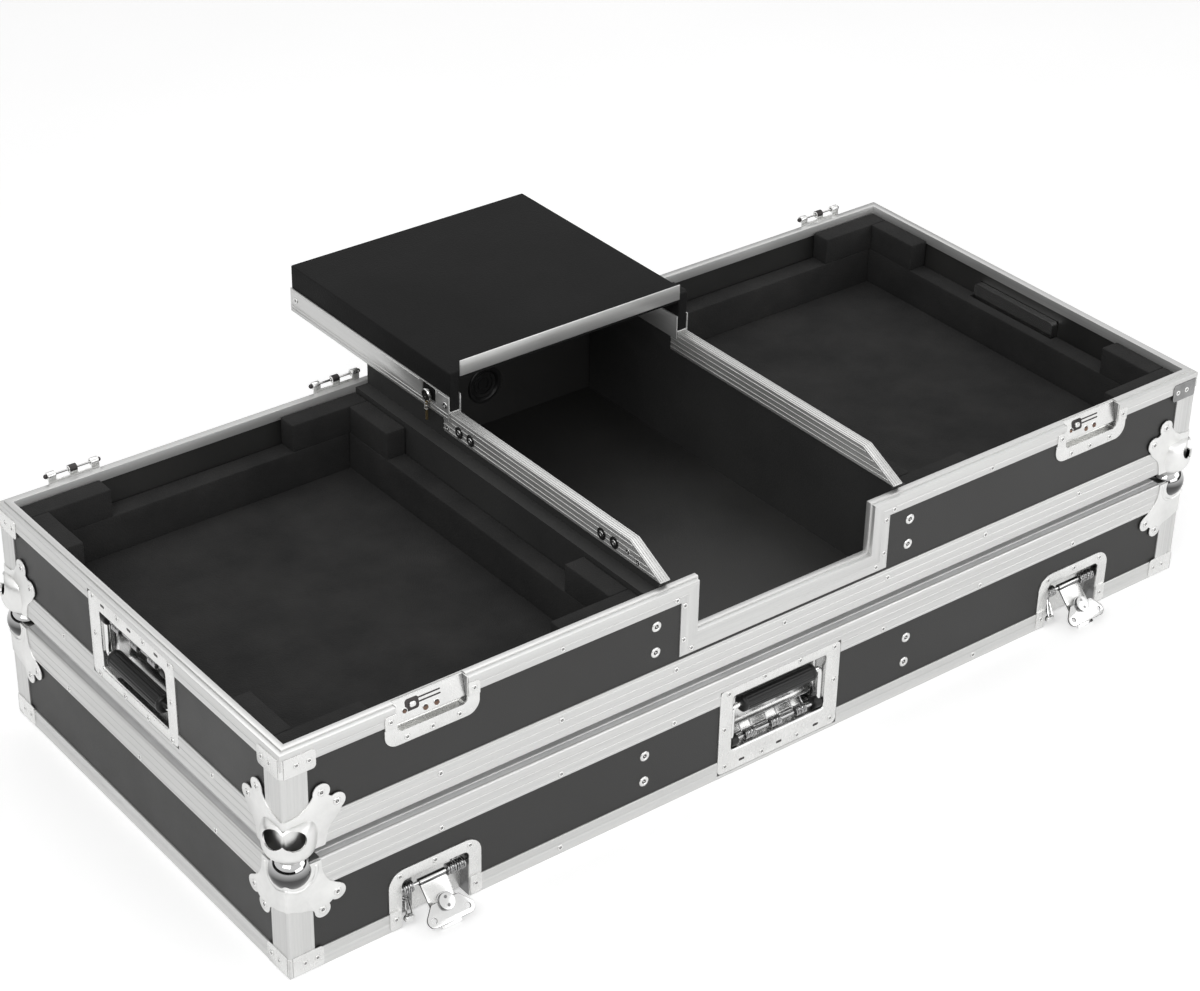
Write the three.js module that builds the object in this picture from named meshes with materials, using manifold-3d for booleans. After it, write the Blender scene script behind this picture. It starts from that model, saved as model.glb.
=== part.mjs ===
// A flight case for two turntables and a mixer, standing on its own upturned lid.
// Millimetres, +Z up, X along the case, -Y the front with the notch.
import * as THREE from "three";
import { mergeVertices } from "three/addons/utils/BufferGeometryUtils.js";
import Module from "manifold-3d";

const wasm = await Module();
wasm.setup();

// Overall sizes
const caseWidth = 1180;
const caseDepth = 524;
const lidHeight = 125;
const stackGap = 14;
const baseHeight = 119;

// Stock: aluminium sheet, plywood, pressed steel, and the clearances between pieces
const skin = 1.5;
const ply = 9;
const pressing = 1.2;
const touchGap = 0.3;
const fitGap = 0.5;
const overrun = 6;

// Extrusions
const edgeFace = 32.5;
const postFace = 28;
const lidRimFace = 22;
const baseRimFace = 20;
const notchTrimFace = 24;
const rimWidth = 12;
const rimLegDepth = 12;
const ledgeWidth = 5;
const ledgeStep = 2;
const lipWidth = 4.6;
const lipStep = 2.3;
const rimBridge = 3;

// Notch in the front of the base
const notchHalf = 112;
const notchDepth = 59;

// Corner fittings
const ballRadius = 20;
const ballInset = 13;
const ballProud = 12.7;
const cupRadius = 26;
const cupInset = 14.5;
const cupDrop = 3.3;
const cupBelly = 17;
const cupRise = 36;
const cupNeck = 15;
const cupFoot = 16;
const cupWindow = 11.5;
const cupWindowInset = 15.5;
const cupWindowHeight = 18;
const cupEye = 13;
const cornerPlateFoot = 30;
const cornerPlateEdge = 48;
const cornerPlateShoulder = 57;
const lobeRadius = 10;
const upperLobe = { along: 39.5, up: 59 };
const outerLobe = { along: 54, up: 43 };
const lobeRivet = { radius: 4.6, proud: 1.3 };

// Spring handles: a pressed dish, and a steel bail with a moulded grip
const dishWidth = 160;
const dishCorner = 6;
const pocketWidth = 124;
const pocketLow = 17;
const pocketHigh = 12;
const pocketDepth = 19;
const bailPivotRise = 6.5;
const bailPivotDepth = 6.5;
const bailRod = 3.2;
const bailArmInset = 3.4;
const bailHeadroom = 24;
const gripRadius = 9.2;
const gripEndGap = 4;
const lidDishFoot = 13;
const lidDishHead = 17;
const baseDishHead = 8;
const baseDishFoot = 16;
const gripFlange = 1.6;

// Twist latches on the lid
const latchFromEnd = 163.5;
const latchDishWidth = 106;
const latchDishTop = 69;
const latchCorner = 18;
const latchPocketWidth = 77;
const latchPocketTop = 56;
const latchPocketDepth = 16;
const latchRimCut = 84;
const pinDepth = 7;
const pinHeight = 39;
const pinRadius = 2;
const knuckleRadius = 3.6;
const armWidth = 30;
const armThick = 2;
const armLength = 38;
const armRest = -45;
const bossRadius = 7;
const capAlong = 27;
const bossTop = 4;
const wingThick = 1.5;
const wingShaft = 3;
const wingLobe = 6.5;
const wingLobeApart = 19.5;
const wingLobeAlong = 12.5;
const wingHole = 3.2;
const wingHub = 10;
const capRadius = 8.5;
const capHeight = 3.5;
const clawWidth = 23;
const clawThick = 1.5;
const clawFrom = 12;
const clawTo = 49.5;
const clawLip = 3.6;

// Keepers in the rim of the base
const keeperFromEnd = 163;
const keeperWidth = 105;
const keeperDrop = 44.5;
const keeperCorner = 14;
const keeperPocketWidth = 77;
const keeperPocketDrop = 30;
const keeperRimCut = 83;
const strikeWidth = 28;
const strikeDrop = 10;
const strikeReach = 4;
const strikeLip = 6;

// Lift-off hinges across the rear
const hingeFromEnd = 87;
const innerHingeOffset = 187;
const hingeNames = ["outer_left", "inner_left", "inner_right", "outer_right"];
const hingeWidth = 58;
const eyeRadius = 4;
const eyeWidth = 9;
const lidEyeWidth = 13;
const lidEyeOffset = 12.5;
const eyeBehind = 4;
const eyeAbove = 4.5;
const eyeLeafGap = 0.6;
const hingeLeafDeep = 17;
const hingePin = 1.7;
const hingePinLength = 7;
const hingeEyeBore = 2.1;

// Partitions beside the mixer bay, and the rails that cap them
const railInner = 145;
const railWidth = 12;
const railHeight = 25;
const railTop = 31;
const railFront = 8;
const railRear = 105;
const railSlopeRun = 48;
const railSlopeDrop = 23.5;
const partitionOuterDepth = 15.5;
const partitionStepDrop = 3.8;
const partitionRearTop = 23;

// Sliding shelf
const shelfFront = 92;
const shelfRear = 395;
const runnerBelow = 8;
const runnerAbove = 20;
const runnerSide = 0.4;
const boardThick = 10;
const sideBoard = 12;
const boardTop = 78;
const stripHalf = 145;
const stripBelow = 6;
const stripAbove = 12;
const windowFront = 25;
const windowLength = 24;
const windowHeight = 17;
const lockKnob = 7;
const lockKnobThick = 5;
const lockPin = 1.5;
const lockPinDrop = 30;

// Cable port and foam
const portAt = { x: 0, z: 200 };
const portBore = 18;
const portFlange = 22.5;
const portFlangeThick = 2;
const foamPad = 25;
const foamStrip = 24;
const foamStripTop = 40;
const foamBlockTop = 8;
const foamBlockReach = 95;
const foamClear = 1;

// Worked out from the sizes above
const halfWidth = caseWidth / 2;
const halfDepth = caseDepth / 2;
const baseFoot = lidHeight + stackGap;
const baseTop = baseFoot + baseHeight;
const plyHalfWidth = halfWidth - skin;
const plyHalfDepth = halfDepth - skin;
const innerHalfWidth = plyHalfWidth - ply;
const innerHalfDepth = plyHalfDepth - ply;
const baseFloor = baseFoot + skin + ply;
const baseWallTop = baseTop - ledgeStep - skin;
const lidWallFoot = lipStep + skin;
const lidCeiling = lidHeight - skin - ply;
const ballHeight = lidHeight + ballProud - ballRadius;
const latchOffset = halfWidth - latchFromEnd;
const keeperOffset = halfWidth - keeperFromEnd;
const outerHingeOffset = halfWidth - hingeFromEnd;
const hingePlaces = [-outerHingeOffset, -innerHingeOffset, innerHingeOffset, outerHingeOffset];
const lidDish = dishMeasures(lidHeight - lidDishFoot - lidDishHead);
const baseDish = dishMeasures(baseHeight - baseDishFoot - baseDishHead);

const finishes = {
  aluminium: { color: 0xc9c9c7, roughness: 0.38, metalness: 0.9 },
  steel: { color: 0xd2d2d0, roughness: 0.28, metalness: 0.95 },
  chrome: { color: 0xdadada, roughness: 0.12, metalness: 1.0 },
  laminate: { color: 0x454545, roughness: 0.55, metalness: 0.0 },
  rubber: { color: 0x1c1b1b, roughness: 0.7, metalness: 0.0 },
  foam: { color: 0x2b2b2b, roughness: 0.95, metalness: 0.0 },
  plastic: { color: 0x181818, roughness: 0.45, metalness: 0.0 },
};

const coffinCase = new THREE.Group();

// Solids

function toSolid(geometry) {
  const bare = geometry.clone();
  bare.deleteAttribute("normal");
  bare.deleteAttribute("uv");
  const merged = mergeVertices(bare, 1e-4);
  return new wasm.Manifold(new wasm.Mesh({
    numProp: 3,
    vertProperties: Float32Array.from(merged.attributes.position.array),
    triVerts: Uint32Array.from(merged.index.array),
  }));
}

function toGeometry(solid) {
  const mesh = solid.getMesh();
  const geometry = new THREE.BufferGeometry();
  geometry.setAttribute("position", new THREE.BufferAttribute(mesh.vertProperties, 3));
  geometry.setIndex(new THREE.BufferAttribute(mesh.triVerts, 1));
  const faceted = geometry.toNonIndexed();
  faceted.computeVertexNormals();
  return faceted;
}

function union(solids) {
  return solids.reduce((sum, solid) => sum.add(solid));
}

function cut(solid, tools) {
  return tools.reduce((rest, tool) => rest.subtract(tool), solid);
}

// A box between two limits along each axis
function block([x0, x1], [y0, y1], [z0, z1]) {
  const box = new THREE.BoxGeometry(x1 - x0, y1 - y0, z1 - z0);
  box.translate((x0 + x1) / 2, (y0 + y1) / 2, (z0 + z1) / 2);
  return toSolid(box);
}

function spread(centre, width) {
  return [centre - width / 2, centre + width / 2];
}

// A round bar along one axis, from one place to another on it
function bar(axis, radius, [from, to], at, sides = 20) {
  const round = new THREE.CylinderGeometry(radius, radius, to - from, sides);
  round.translate(0, (from + to) / 2, 0);
  if (axis === "x") round.rotateZ(-Math.PI / 2);
  if (axis === "z") round.rotateX(Math.PI / 2);
  round.translate(at.x ?? 0, at.y ?? 0, at.z ?? 0);
  return toSolid(round);
}

function ball(radius, at, sides = 24) {
  const sphere = new THREE.SphereGeometry(radius, sides, sides / 2);
  sphere.translate(at.x, at.y, at.z);
  return toSolid(sphere);
}

// A shape drawn in X and Z, given depth along Y
function frontPlate(shape, [y0, y1], steps = 5) {
  const plate = new THREE.ExtrudeGeometry(shape, { depth: y1 - y0, bevelEnabled: false, curveSegments: steps });
  plate.rotateX(Math.PI / 2);
  plate.translate(0, y1, 0);
  return toSolid(plate);
}

// A shape drawn in Y and Z, given width along X
function sidePlate(shape, [x0, x1]) {
  const plate = new THREE.ExtrudeGeometry(shape, { depth: x1 - x0, bevelEnabled: false, curveSegments: 5 });
  plate.applyMatrix4(new THREE.Matrix4().makeBasis(
    new THREE.Vector3(0, 1, 0), new THREE.Vector3(0, 0, 1), new THREE.Vector3(1, 0, 0)));
  plate.translate(x0, 0, 0);
  return toSolid(plate);
}

function outline(points) {
  return new THREE.Shape(points.map(([a, b]) => new THREE.Vector2(a, b)));
}

// A rectangle whose lower and upper corners are rounded by their own radii
function roundedShape([x0, x1], [z0, z1], lower, upper) {
  const shape = new THREE.Shape();
  shape.moveTo(x0 + lower, z0);
  shape.lineTo(x1 - lower, z0);
  if (lower) shape.absarc(x1 - lower, z0 + lower, lower, -Math.PI / 2, 0);
  shape.lineTo(x1, z1 - upper);
  if (upper) shape.absarc(x1 - upper, z1 - upper, upper, 0, Math.PI / 2);
  shape.lineTo(x0 + upper, z1);
  if (upper) shape.absarc(x0 + upper, z1 - upper, upper, Math.PI / 2, Math.PI);
  shape.lineTo(x0, z0 + lower);
  if (lower) shape.absarc(x0 + lower, z0 + lower, lower, Math.PI, Math.PI * 1.5);
  return shape;
}

// A section carried round a closed run of straight lengths with mitred corners.
// Each section point gives its way in from the outer face, its rise, and its share of the leg.
function mitredFrame(stations, section) {
  const rows = stations.map(({ at, inward, rise, leg }) => section.map(([inside, up, share]) =>
    at.clone().addScaledVector(inward, inside).addScaledVector(rise, up).addScaledVector(leg, share)));
  const positions = rows.flat().flatMap((point) => [point.x, point.y, point.z]);
  const index = [];
  const count = section.length;
  rows.forEach((row, i) => {
    const next = (i + 1) % rows.length;
    row.forEach((point, j) => {
      const side = (j + 1) % count;
      const [a, b] = [i * count + j, next * count + j];
      const [c, d] = [next * count + side, i * count + side];
      index.push(a, b, c, a, c, d);
    });
  });
  const geometry = new THREE.BufferGeometry();
  geometry.setAttribute("position", new THREE.Float32BufferAttribute(positions, 3));
  geometry.setIndex(index);
  const solid = toSolid(geometry);
  if (solid.volume() > 0) return solid;
  geometry.setIndex(index.map((_, k) => index[k - (k % 3) + (2 - (k % 3))]));
  return toSolid(geometry);
}

const vector = (x, y, z) => new THREE.Vector3(x, y, z);

// The four case corners at one height, in order round the case
function cornerStations(height, way, face) {
  return [[-1, -1], [1, -1], [1, 1], [-1, 1]].map(([sx, sy]) => ({
    at: vector(sx * halfWidth, sy * halfDepth, height),
    inward: vector(-sx, -sy, 0),
    rise: vector(0, 0, way),
    leg: vector(0, 0, -way * face),
  }));
}

function place(name, solid, finish, parent = coffinCase, turn = 0) {
  const mesh = new THREE.Mesh(toGeometry(solid), new THREE.MeshStandardMaterial(finishes[finish]));
  mesh.name = name;
  mesh.rotation.z = turn;
  parent.add(mesh);
  return mesh;
}

function groupAt(x, y, z, parent = coffinCase) {
  const group = new THREE.Group();
  group.position.set(x, y, z);
  parent.add(group);
  return group;
}

// Openings that the fittings need in walls and extrusions

const handleHoleHalf = pocketWidth / 2 + pressing + fitGap;
const lidDishCentre = lidDishFoot - lidDish.low;
const baseDishCentre = baseTop - baseDishHead - baseDish.high;

// Heights on a handle's dish from its centre, and how far its bail reaches from the hinge
function dishMeasures(height) {
  const low = -height / 2;
  const high = height / 2;
  const foot = low + pocketLow;
  const head = high - pocketHigh;
  return { low, high, foot, head, reach: head - foot - bailHeadroom };
}

// The hole for a handle's dish, from the front and from a side
function frontHandleHole(depth) {
  const heights = [lidDish.foot - pressing - fitGap, lidDish.head + pressing + fitGap];
  return block([-handleHoleHalf, handleHoleHalf], [-halfDepth - overrun, depth],
    heights.map((height) => height + lidDishCentre));
}

function sideHandleHole(side) {
  const heights = [-baseDish.head - pressing - fitGap, -baseDish.foot + pressing + fitGap];
  const across = [side * (innerHalfWidth - overrun), side * (halfWidth + overrun)].sort((a, b) => a - b);
  return block(across, [-handleHoleHalf, handleHoleHalf], heights.map((height) => height + baseDishCentre));
}

const flangeHalf = dishWidth / 2 + touchGap;

function frontFlangeCut() {
  const heights = [lidDish.low - touchGap, lidDish.high + touchGap].map((height) => height + lidDishCentre);
  return block([-flangeHalf, flangeHalf], [-halfDepth - overrun, -plyHalfDepth + touchGap], heights);
}

function sideFlangeCut(side) {
  const heights = [baseDish.low - touchGap, baseDish.high + touchGap].map((height) => height + baseDishCentre);
  const across = [side * (plyHalfWidth - touchGap), side * (halfWidth + overrun)].sort((a, b) => a - b);
  return block(across, [-flangeHalf, flangeHalf], heights);
}

// Lid

function lidTopPanel() {
  return block([-plyHalfWidth, plyHalfWidth], [-plyHalfDepth, plyHalfDepth], [lidCeiling, lidCeiling + ply]);
}

function lidFrontPanel() {
  const wall = block([-plyHalfWidth, plyHalfWidth], [-plyHalfDepth, -innerHalfDepth], [lidWallFoot, lidCeiling]);
  const latchHoles = [-latchOffset, latchOffset].map((x) => block(
    spread(x, latchPocketWidth + 2 * pressing + 2 * fitGap),
    [-plyHalfDepth - overrun, -innerHalfDepth + overrun],
    [-overrun, latchPocketTop + pressing + fitGap]));
  return cut(wall, [frontHandleHole(-innerHalfDepth + overrun), ...latchHoles]);
}

function lidRearPanel() {
  return block([-plyHalfWidth, plyHalfWidth], [innerHalfDepth, plyHalfDepth], [lidWallFoot, lidCeiling]);
}

function sidePanel(side, [z0, z1]) {
  const across = [side * innerHalfWidth, side * plyHalfWidth].sort((a, b) => a - b);
  return block(across, [-innerHalfDepth, innerHalfDepth], [z0, z1]);
}

const edgeSection = [
  [0, 0, 0], [edgeFace, 0, 0], [edgeFace, -skin, 0], [skin, -skin, 0], [skin, 0, 1], [0, 0, 1],
];

// An angle round the closed end of a half, with an angle post at each corner
function edgeFrame(height, way, [postFrom, postTo]) {
  const ring = mitredFrame(cornerStations(height, way, edgeFace), edgeSection);
  const posts = [[-1, -1], [1, -1], [1, 1], [-1, 1]].flatMap(([sx, sy]) => {
    const along = [sx * halfWidth, sx * (halfWidth - postFace)].sort((a, b) => a - b);
    const thinAlong = [sx * halfWidth, sx * plyHalfWidth].sort((a, b) => a - b);
    const across = [sy * halfDepth, sy * (halfDepth - postFace)].sort((a, b) => a - b);
    const thinAcross = [sy * halfDepth, sy * plyHalfDepth].sort((a, b) => a - b);
    return [block(along, thinAcross, [postFrom, postTo]), block(thinAlong, across, [postFrom, postTo])];
  });
  return union([ring, ...posts]);
}

function lidEdgeFrame() {
  const frame = edgeFrame(lidHeight, 1, [lidRimFace + touchGap, lidHeight - skin]);
  return cut(frame, [frontFlangeCut()]);
}

function lidRimFrame() {
  const section = [
    [0, 0, 0], [lipWidth, 0, 0], [lipWidth, -lipStep, 0], [rimWidth, -lipStep, 0],
    [rimWidth, -rimLegDepth, 0], [rimWidth - skin, -rimLegDepth, 0],
    [rimWidth - skin, -lipStep - skin, 0], [skin, -lipStep - skin, 0], [skin, 0, 1], [0, 0, 1],
  ];
  const ring = mitredFrame(cornerStations(0, -1, lidRimFace), section);
  const latchCuts = [-latchOffset, latchOffset].flatMap((x) => rimCuts(x, latchRimCut, lidRimFace)
    .map(([across, deep, heights]) => block(across, deep, heights)));
  return cut(ring, [frontFlangeCut(), ...latchCuts]);
}

// A cut through a front rim: its outer leg for the full face, the rest down to a narrow bridge.
// Heights are taken from the rim line into the wall.
function rimCuts(x, width, face) {
  const keep = rimLegDepth - rimBridge;
  return [
    [spread(x, width), [-halfDepth - overrun, -halfDepth + rimWidth - skin - touchGap], [-overrun, face + overrun]],
    [spread(x, width), [-halfDepth - overrun, -innerHalfDepth + overrun], [-overrun, keep]],
  ];
}

// Base

function baseBottomPanel() {
  const heights = [baseFoot + skin, baseFloor];
  return block([-plyHalfWidth, plyHalfWidth], [-plyHalfDepth, plyHalfDepth], heights);
}

function keeperHole(x) {
  return block(spread(x, keeperPocketWidth + 2 * pressing + 2 * fitGap),
    [-plyHalfDepth - overrun, -innerHalfDepth + overrun],
    [baseTop - keeperPocketDrop - pressing - fitGap, baseTop + overrun]);
}

function baseFrontPanel() {
  const wall = block([-plyHalfWidth, plyHalfWidth], [-plyHalfDepth, -innerHalfDepth], [baseFloor, baseWallTop]);
  const seat = ledgeStep + skin;
  const notch = block([-notchHalf - seat, notchHalf + seat], [-plyHalfDepth - overrun, -innerHalfDepth + overrun],
    [baseTop - notchDepth - seat, baseTop + overrun]);
  return cut(wall, [notch, keeperHole(-keeperOffset), keeperHole(keeperOffset)]);
}

function baseRearPanel() {
  const wall = block([-plyHalfWidth, plyHalfWidth], [innerHalfDepth, plyHalfDepth], [baseFloor, baseWallTop]);
  const port = bar("y", portBore + skin + touchGap, [innerHalfDepth - overrun, plyHalfDepth + overrun], portAt);
  return cut(wall, [port]);
}

function baseEdgeFrame() {
  const frame = edgeFrame(baseFoot, -1, [baseFoot + skin, baseTop - baseRimFace - touchGap]);
  return cut(frame, [sideFlangeCut(-1), sideFlangeCut(1)]);
}

// The rim of the base runs down the sides of the notch and along its sill
function baseRimFrame() {
  const section = [
    [0, -ledgeStep, 0], [ledgeWidth, -ledgeStep, 0], [ledgeWidth, 0, 0], [rimWidth, 0, 0],
    [rimWidth, -rimLegDepth, 0], [rimWidth - skin, -rimLegDepth, 0],
    [rimWidth - skin, -ledgeStep - skin, 0], [skin, -ledgeStep - skin, 0], [skin, 0, 1], [0, 0, 1],
  ];
  const [frontLeft, ...others] = cornerStations(baseTop, 1, baseRimFace);
  const notch = [[-1, 0], [-1, 1], [1, 1], [1, 0]].map(([sx, low]) => ({
    at: vector(sx * notchHalf, -halfDepth, baseTop - low * notchDepth),
    inward: vector(0, 1, 0),
    rise: vector(-sx, 0, 1),
    leg: vector(sx * notchTrimFace, 0, low ? -notchTrimFace : -baseRimFace),
  }));
  const ring = mitredFrame([frontLeft, ...notch, ...others], section);
  const keeperCuts = [-keeperOffset, keeperOffset].flatMap((x) => rimCuts(x, keeperRimCut, baseRimFace)
    .map(([across, deep, [low, high]]) => block(across, deep, [baseTop - high, baseTop - low])));
  return cut(ring, [sideFlangeCut(-1), sideFlangeCut(1), ...keeperCuts]);
}

// Corner fittings, drawn at the front left corner with the corner at the origin

// The lobed plate that lies on one face; up is measured from the closed edge of the half
function cornerPlate() {
  const body = frontPlate(outline([
    [0, 0], [cornerPlateFoot, 0], [outerLobe.along, outerLobe.up - lobeRadius], [outerLobe.along, outerLobe.up],
    [upperLobe.along, upperLobe.up], [cornerPlateFoot, cornerPlateShoulder], [0, cornerPlateEdge],
  ]), [-pressing, 0]);
  const lobes = [upperLobe, outerLobe].flatMap(({ along, up }) => [
    bar("y", lobeRadius, [-pressing, 0], { x: along, z: up }, 16),
    bar("y", lobeRivet.radius, [-pressing - lobeRivet.proud, 0], { x: along, z: up }, 12),
  ]);
  return union([body, ...lobes]);
}

// Both plates, the second mirrored across the corner's diagonal, and the strip that joins them
function cornerPlates() {
  const front = cornerPlate();
  const side = front.transform([0, 1, 0, 0, 1, 0, 0, 0, 0, 0, 1, 0, 0, 0, 0, 1]);
  const join = block([-pressing, 0], [-pressing, 0], [0, cornerPlateEdge]);
  return union([front, side, join]);
}

// The space that the case itself fills behind the fitting
function caseCorner(from, to) {
  return block([0, halfDepth], [0, halfDepth], [from, to]);
}

// Heights here run down from the top of the lid, so the solid is turned over
function ballCorner() {
  const round = ball(ballRadius, { x: ballInset, y: ballInset, z: lidHeight - ballHeight });
  const whole = union([cornerPlates(), cut(round, [caseCorner(0, cupRise + overrun)])]);
  return turnedOver(whole);
}

// Turned over about the diagonal through the corner, which swaps the two faces
function turnedOver(solid) {
  return solid.transform([0, 1, 0, 0, 1, 0, 0, 0, 0, 0, -1, 0, 0, 0, 0, 1]);
}

// A cup that swells round the corner, dimpled below for the ball and with a round window on each face
function stackCorner() {
  const profile = new THREE.Path();
  profile.moveTo(0, -cupDrop);
  profile.lineTo(cupFoot, -cupDrop);
  profile.quadraticCurveTo(cupRadius, -cupDrop, cupRadius, cupBelly);
  profile.quadraticCurveTo(cupRadius, cupRise, cupNeck, cupRise);
  profile.lineTo(0, cupRise);
  const cup = new THREE.LatheGeometry(profile.getPoints(4), 28);
  cup.rotateX(Math.PI / 2);
  cup.translate(cupInset, cupInset, 0);
  const swell = cut(toSolid(cup), [caseCorner(0, cupRise + overrun)]);
  const whole = union([cornerPlates(), swell]);
  const windowAt = { x: cupWindowInset, y: 0, z: cupWindowHeight };
  const frontWindow = bar("y", cupWindow, [-cupRadius, -pressing], windowAt);
  const sideWindow = bar("x", cupWindow, [-cupRadius, -pressing], { x: 0, y: cupWindowInset, z: cupWindowHeight });
  const eye = cut(ball(cupEye, { x: 0, y: 0, z: cupWindowHeight + pressing }, 16),
    [block([-pressing, cupRadius], [-pressing, cupRadius], [-cupRadius, cupRadius * 2])]);
  const dimple = ball(ballRadius + touchGap, { x: ballInset, y: ballInset, z: ballHeight - baseFoot });
  return cut(whole, [frontWindow, sideWindow, eye, dimple]);
}

// Spring handle, drawn with its flange centred and its hinge low

function handleDish({ low, high, foot, head }) {
  const flange = frontPlate(
    roundedShape([-dishWidth / 2, dishWidth / 2], [low, high], dishCorner, dishCorner), [0, skin]);
  const pan = block(spread(0, pocketWidth + 2 * pressing), [0, pocketDepth + pressing],
    [foot - pressing, head + pressing]);
  const hollow = block(spread(0, pocketWidth), [-overrun, pocketDepth], [foot, head]);
  const bores = bar("x", bailRod + touchGap, spread(0, pocketWidth + overrun),
    { y: bailPivotDepth, z: foot + bailPivotRise });
  return cut(union([flange, pan]), [hollow, bores]);
}

// The bail about its own hinge line: stub ends, arms and a thick grip
function handleBail({ reach }) {
  const armAt = pocketWidth / 2 - bailArmInset;
  const gripHalf = armAt - gripEndGap;
  const stubEnd = pocketWidth / 2 + pressing;
  const parts = [-1, 1].flatMap((side) => [
    bar("x", bailRod, [side * armAt, side * stubEnd].sort((a, b) => a - b), {}, 16),
    ball(bailRod, { x: side * armAt, y: 0, z: 0 }, 16),
    bar("z", bailRod, [0, reach], { x: side * armAt }, 16),
    ball(bailRod, { x: side * armAt, y: 0, z: reach }, 16),
    bar("x", gripRadius + gripFlange / 2, spread(side * (gripHalf - gripFlange), gripFlange * 2), { z: reach }, 20),
  ]);
  const rod = bar("x", bailRod, [-armAt, armAt], { z: reach }, 16);
  const grip = bar("x", gripRadius, [-gripHalf, gripHalf], { z: reach }, 20);
  return union([rod, grip, ...parts]);
}

// The three handles: one on the lid's front, one upturned on each end of the base
function addHandle(name, group, measures) {
  place(`${name}_dish`, handleDish(measures), "steel", group);
  const hinge = groupAt(0, bailPivotDepth, measures.foot + bailPivotRise, group);
  place(`${name}_bail`, handleBail(measures), "rubber", hinge);
}

// Twist latch, drawn with the front face at y = 0 and the floor at z = 0

function latchDish() {
  const flange = frontPlate(roundedShape(spread(0, latchDishWidth), [lidRimFace + touchGap, latchDishTop],
    0, latchCorner), [0, skin]);
  const foot = lidRimFace + touchGap;
  const pan = block(spread(0, latchPocketWidth + 2 * pressing), [0, latchPocketDepth + pressing],
    [foot, latchPocketTop + pressing]);
  const hollow = block(spread(0, latchPocketWidth), [-overrun, latchPocketDepth], [-overrun, latchPocketTop]);
  const pin = bar("x", pinRadius, spread(0, latchPocketWidth + pressing), { y: pinDepth, z: pinHeight }, 16);
  return union([cut(union([flange, pan]), [hollow]), pin]);
}

// The arm hangs along -Z from its pin, with its outer side towards -Y
function latchArm() {
  const leaf = block(spread(0, armWidth), spread(0, armThick), [-armLength, 0]);
  const knuckle = bar("x", knuckleRadius, spread(0, armWidth), {}, 20);
  const boss = bar("y", bossRadius, [-bossTop, 0], { z: -capAlong }, 20);
  const bore = bar("x", pinRadius + touchGap, spread(0, armWidth + overrun), {}, 16);
  const socket = bar("y", wingShaft + touchGap, [-bossTop - overrun, 0], { z: -capAlong }, 16);
  return cut(union([leaf, knuckle, boss]), [bore, socket]);
}

// The wing about its own shaft, with two drilled lobes below the cap
function latchWing() {
  const face = -bossTop - touchGap;
  const heights = [face - wingThick, face];
  const plate = new THREE.Shape();
  plate.moveTo(-wingHub, 0);
  plate.lineTo(-wingLobeApart - wingLobe, -wingLobeAlong);
  plate.absarc(-wingLobeApart, -wingLobeAlong, wingLobe, Math.PI, Math.PI * 1.5);
  plate.lineTo(wingLobeApart, -wingLobeAlong - wingLobe);
  plate.absarc(wingLobeApart, -wingLobeAlong, wingLobe, -Math.PI / 2, 0);
  plate.lineTo(wingHub, 0);
  plate.absarc(0, 0, wingHub, 0, Math.PI);
  const holes = [-1, 1].map((side) => bar("y", wingHole, [face - overrun, face + overrun],
    { x: side * wingLobeApart, z: -wingLobeAlong }, 14));
  const cap = bar("y", capRadius, [face - wingThick - capHeight, face], {}, 24);
  const shaft = bar("y", wingShaft, [face, -armThick / 2], {}, 16);
  return union([cut(frontPlate(plate, heights, 7), holes), cap, shaft]);
}

// The claw lies under the arm and hooks inwards at its end
function latchClaw() {
  const near = armThick / 2 + touchGap;
  const leaf = block(spread(0, clawWidth), [near, near + clawThick], [-clawTo, -clawFrom]);
  const lip = block(spread(0, clawWidth), [near, near + clawLip], [-clawTo, -clawTo + clawThick]);
  return union([leaf, lip]);
}

function addLatch(name, x) {
  const group = groupAt(x, -halfDepth, 0);
  place(`${name}_dish`, latchDish(), "steel", group);
  const hinge = groupAt(0, pinDepth, pinHeight, group);
  hinge.rotation.x = THREE.MathUtils.degToRad(armRest);
  place(`${name}_arm`, latchArm(), "steel", hinge);
  place(`${name}_wing`, latchWing(), "chrome", groupAt(0, 0, -capAlong, hinge));
  place(`${name}_claw`, latchClaw(), "chrome", hinge);
}

// Keeper, drawn with the front face at y = 0 and the rim at z = 0

function keeper() {
  const flangeTop = -baseRimFace - touchGap;
  const panDepth = rimWidth - skin - touchGap;
  const flange = frontPlate(
    roundedShape(spread(0, keeperWidth), [-keeperDrop, flangeTop], keeperCorner, 0), [0, skin]);
  const pan = block(spread(0, keeperPocketWidth + 2 * pressing), [0, panDepth],
    [-keeperPocketDrop - pressing, -ledgeStep]);
  const back = panDepth - pressing;
  const hollow = block(spread(0, keeperPocketWidth), [-overrun, back], [-keeperPocketDrop, overrun]);
  const shelf = block(spread(0, strikeWidth), [back - strikeReach, back], spread(-strikeDrop, pressing));
  const lip = block(spread(0, strikeWidth), spread(back - strikeReach, pressing),
    [-strikeDrop - strikeLip, -strikeDrop + pressing / 2]);
  return union([cut(union([flange, pan]), [hollow]), shelf, lip]);
}

// Lift-off hinge half about its axis, with its leaf on the rear face

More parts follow.
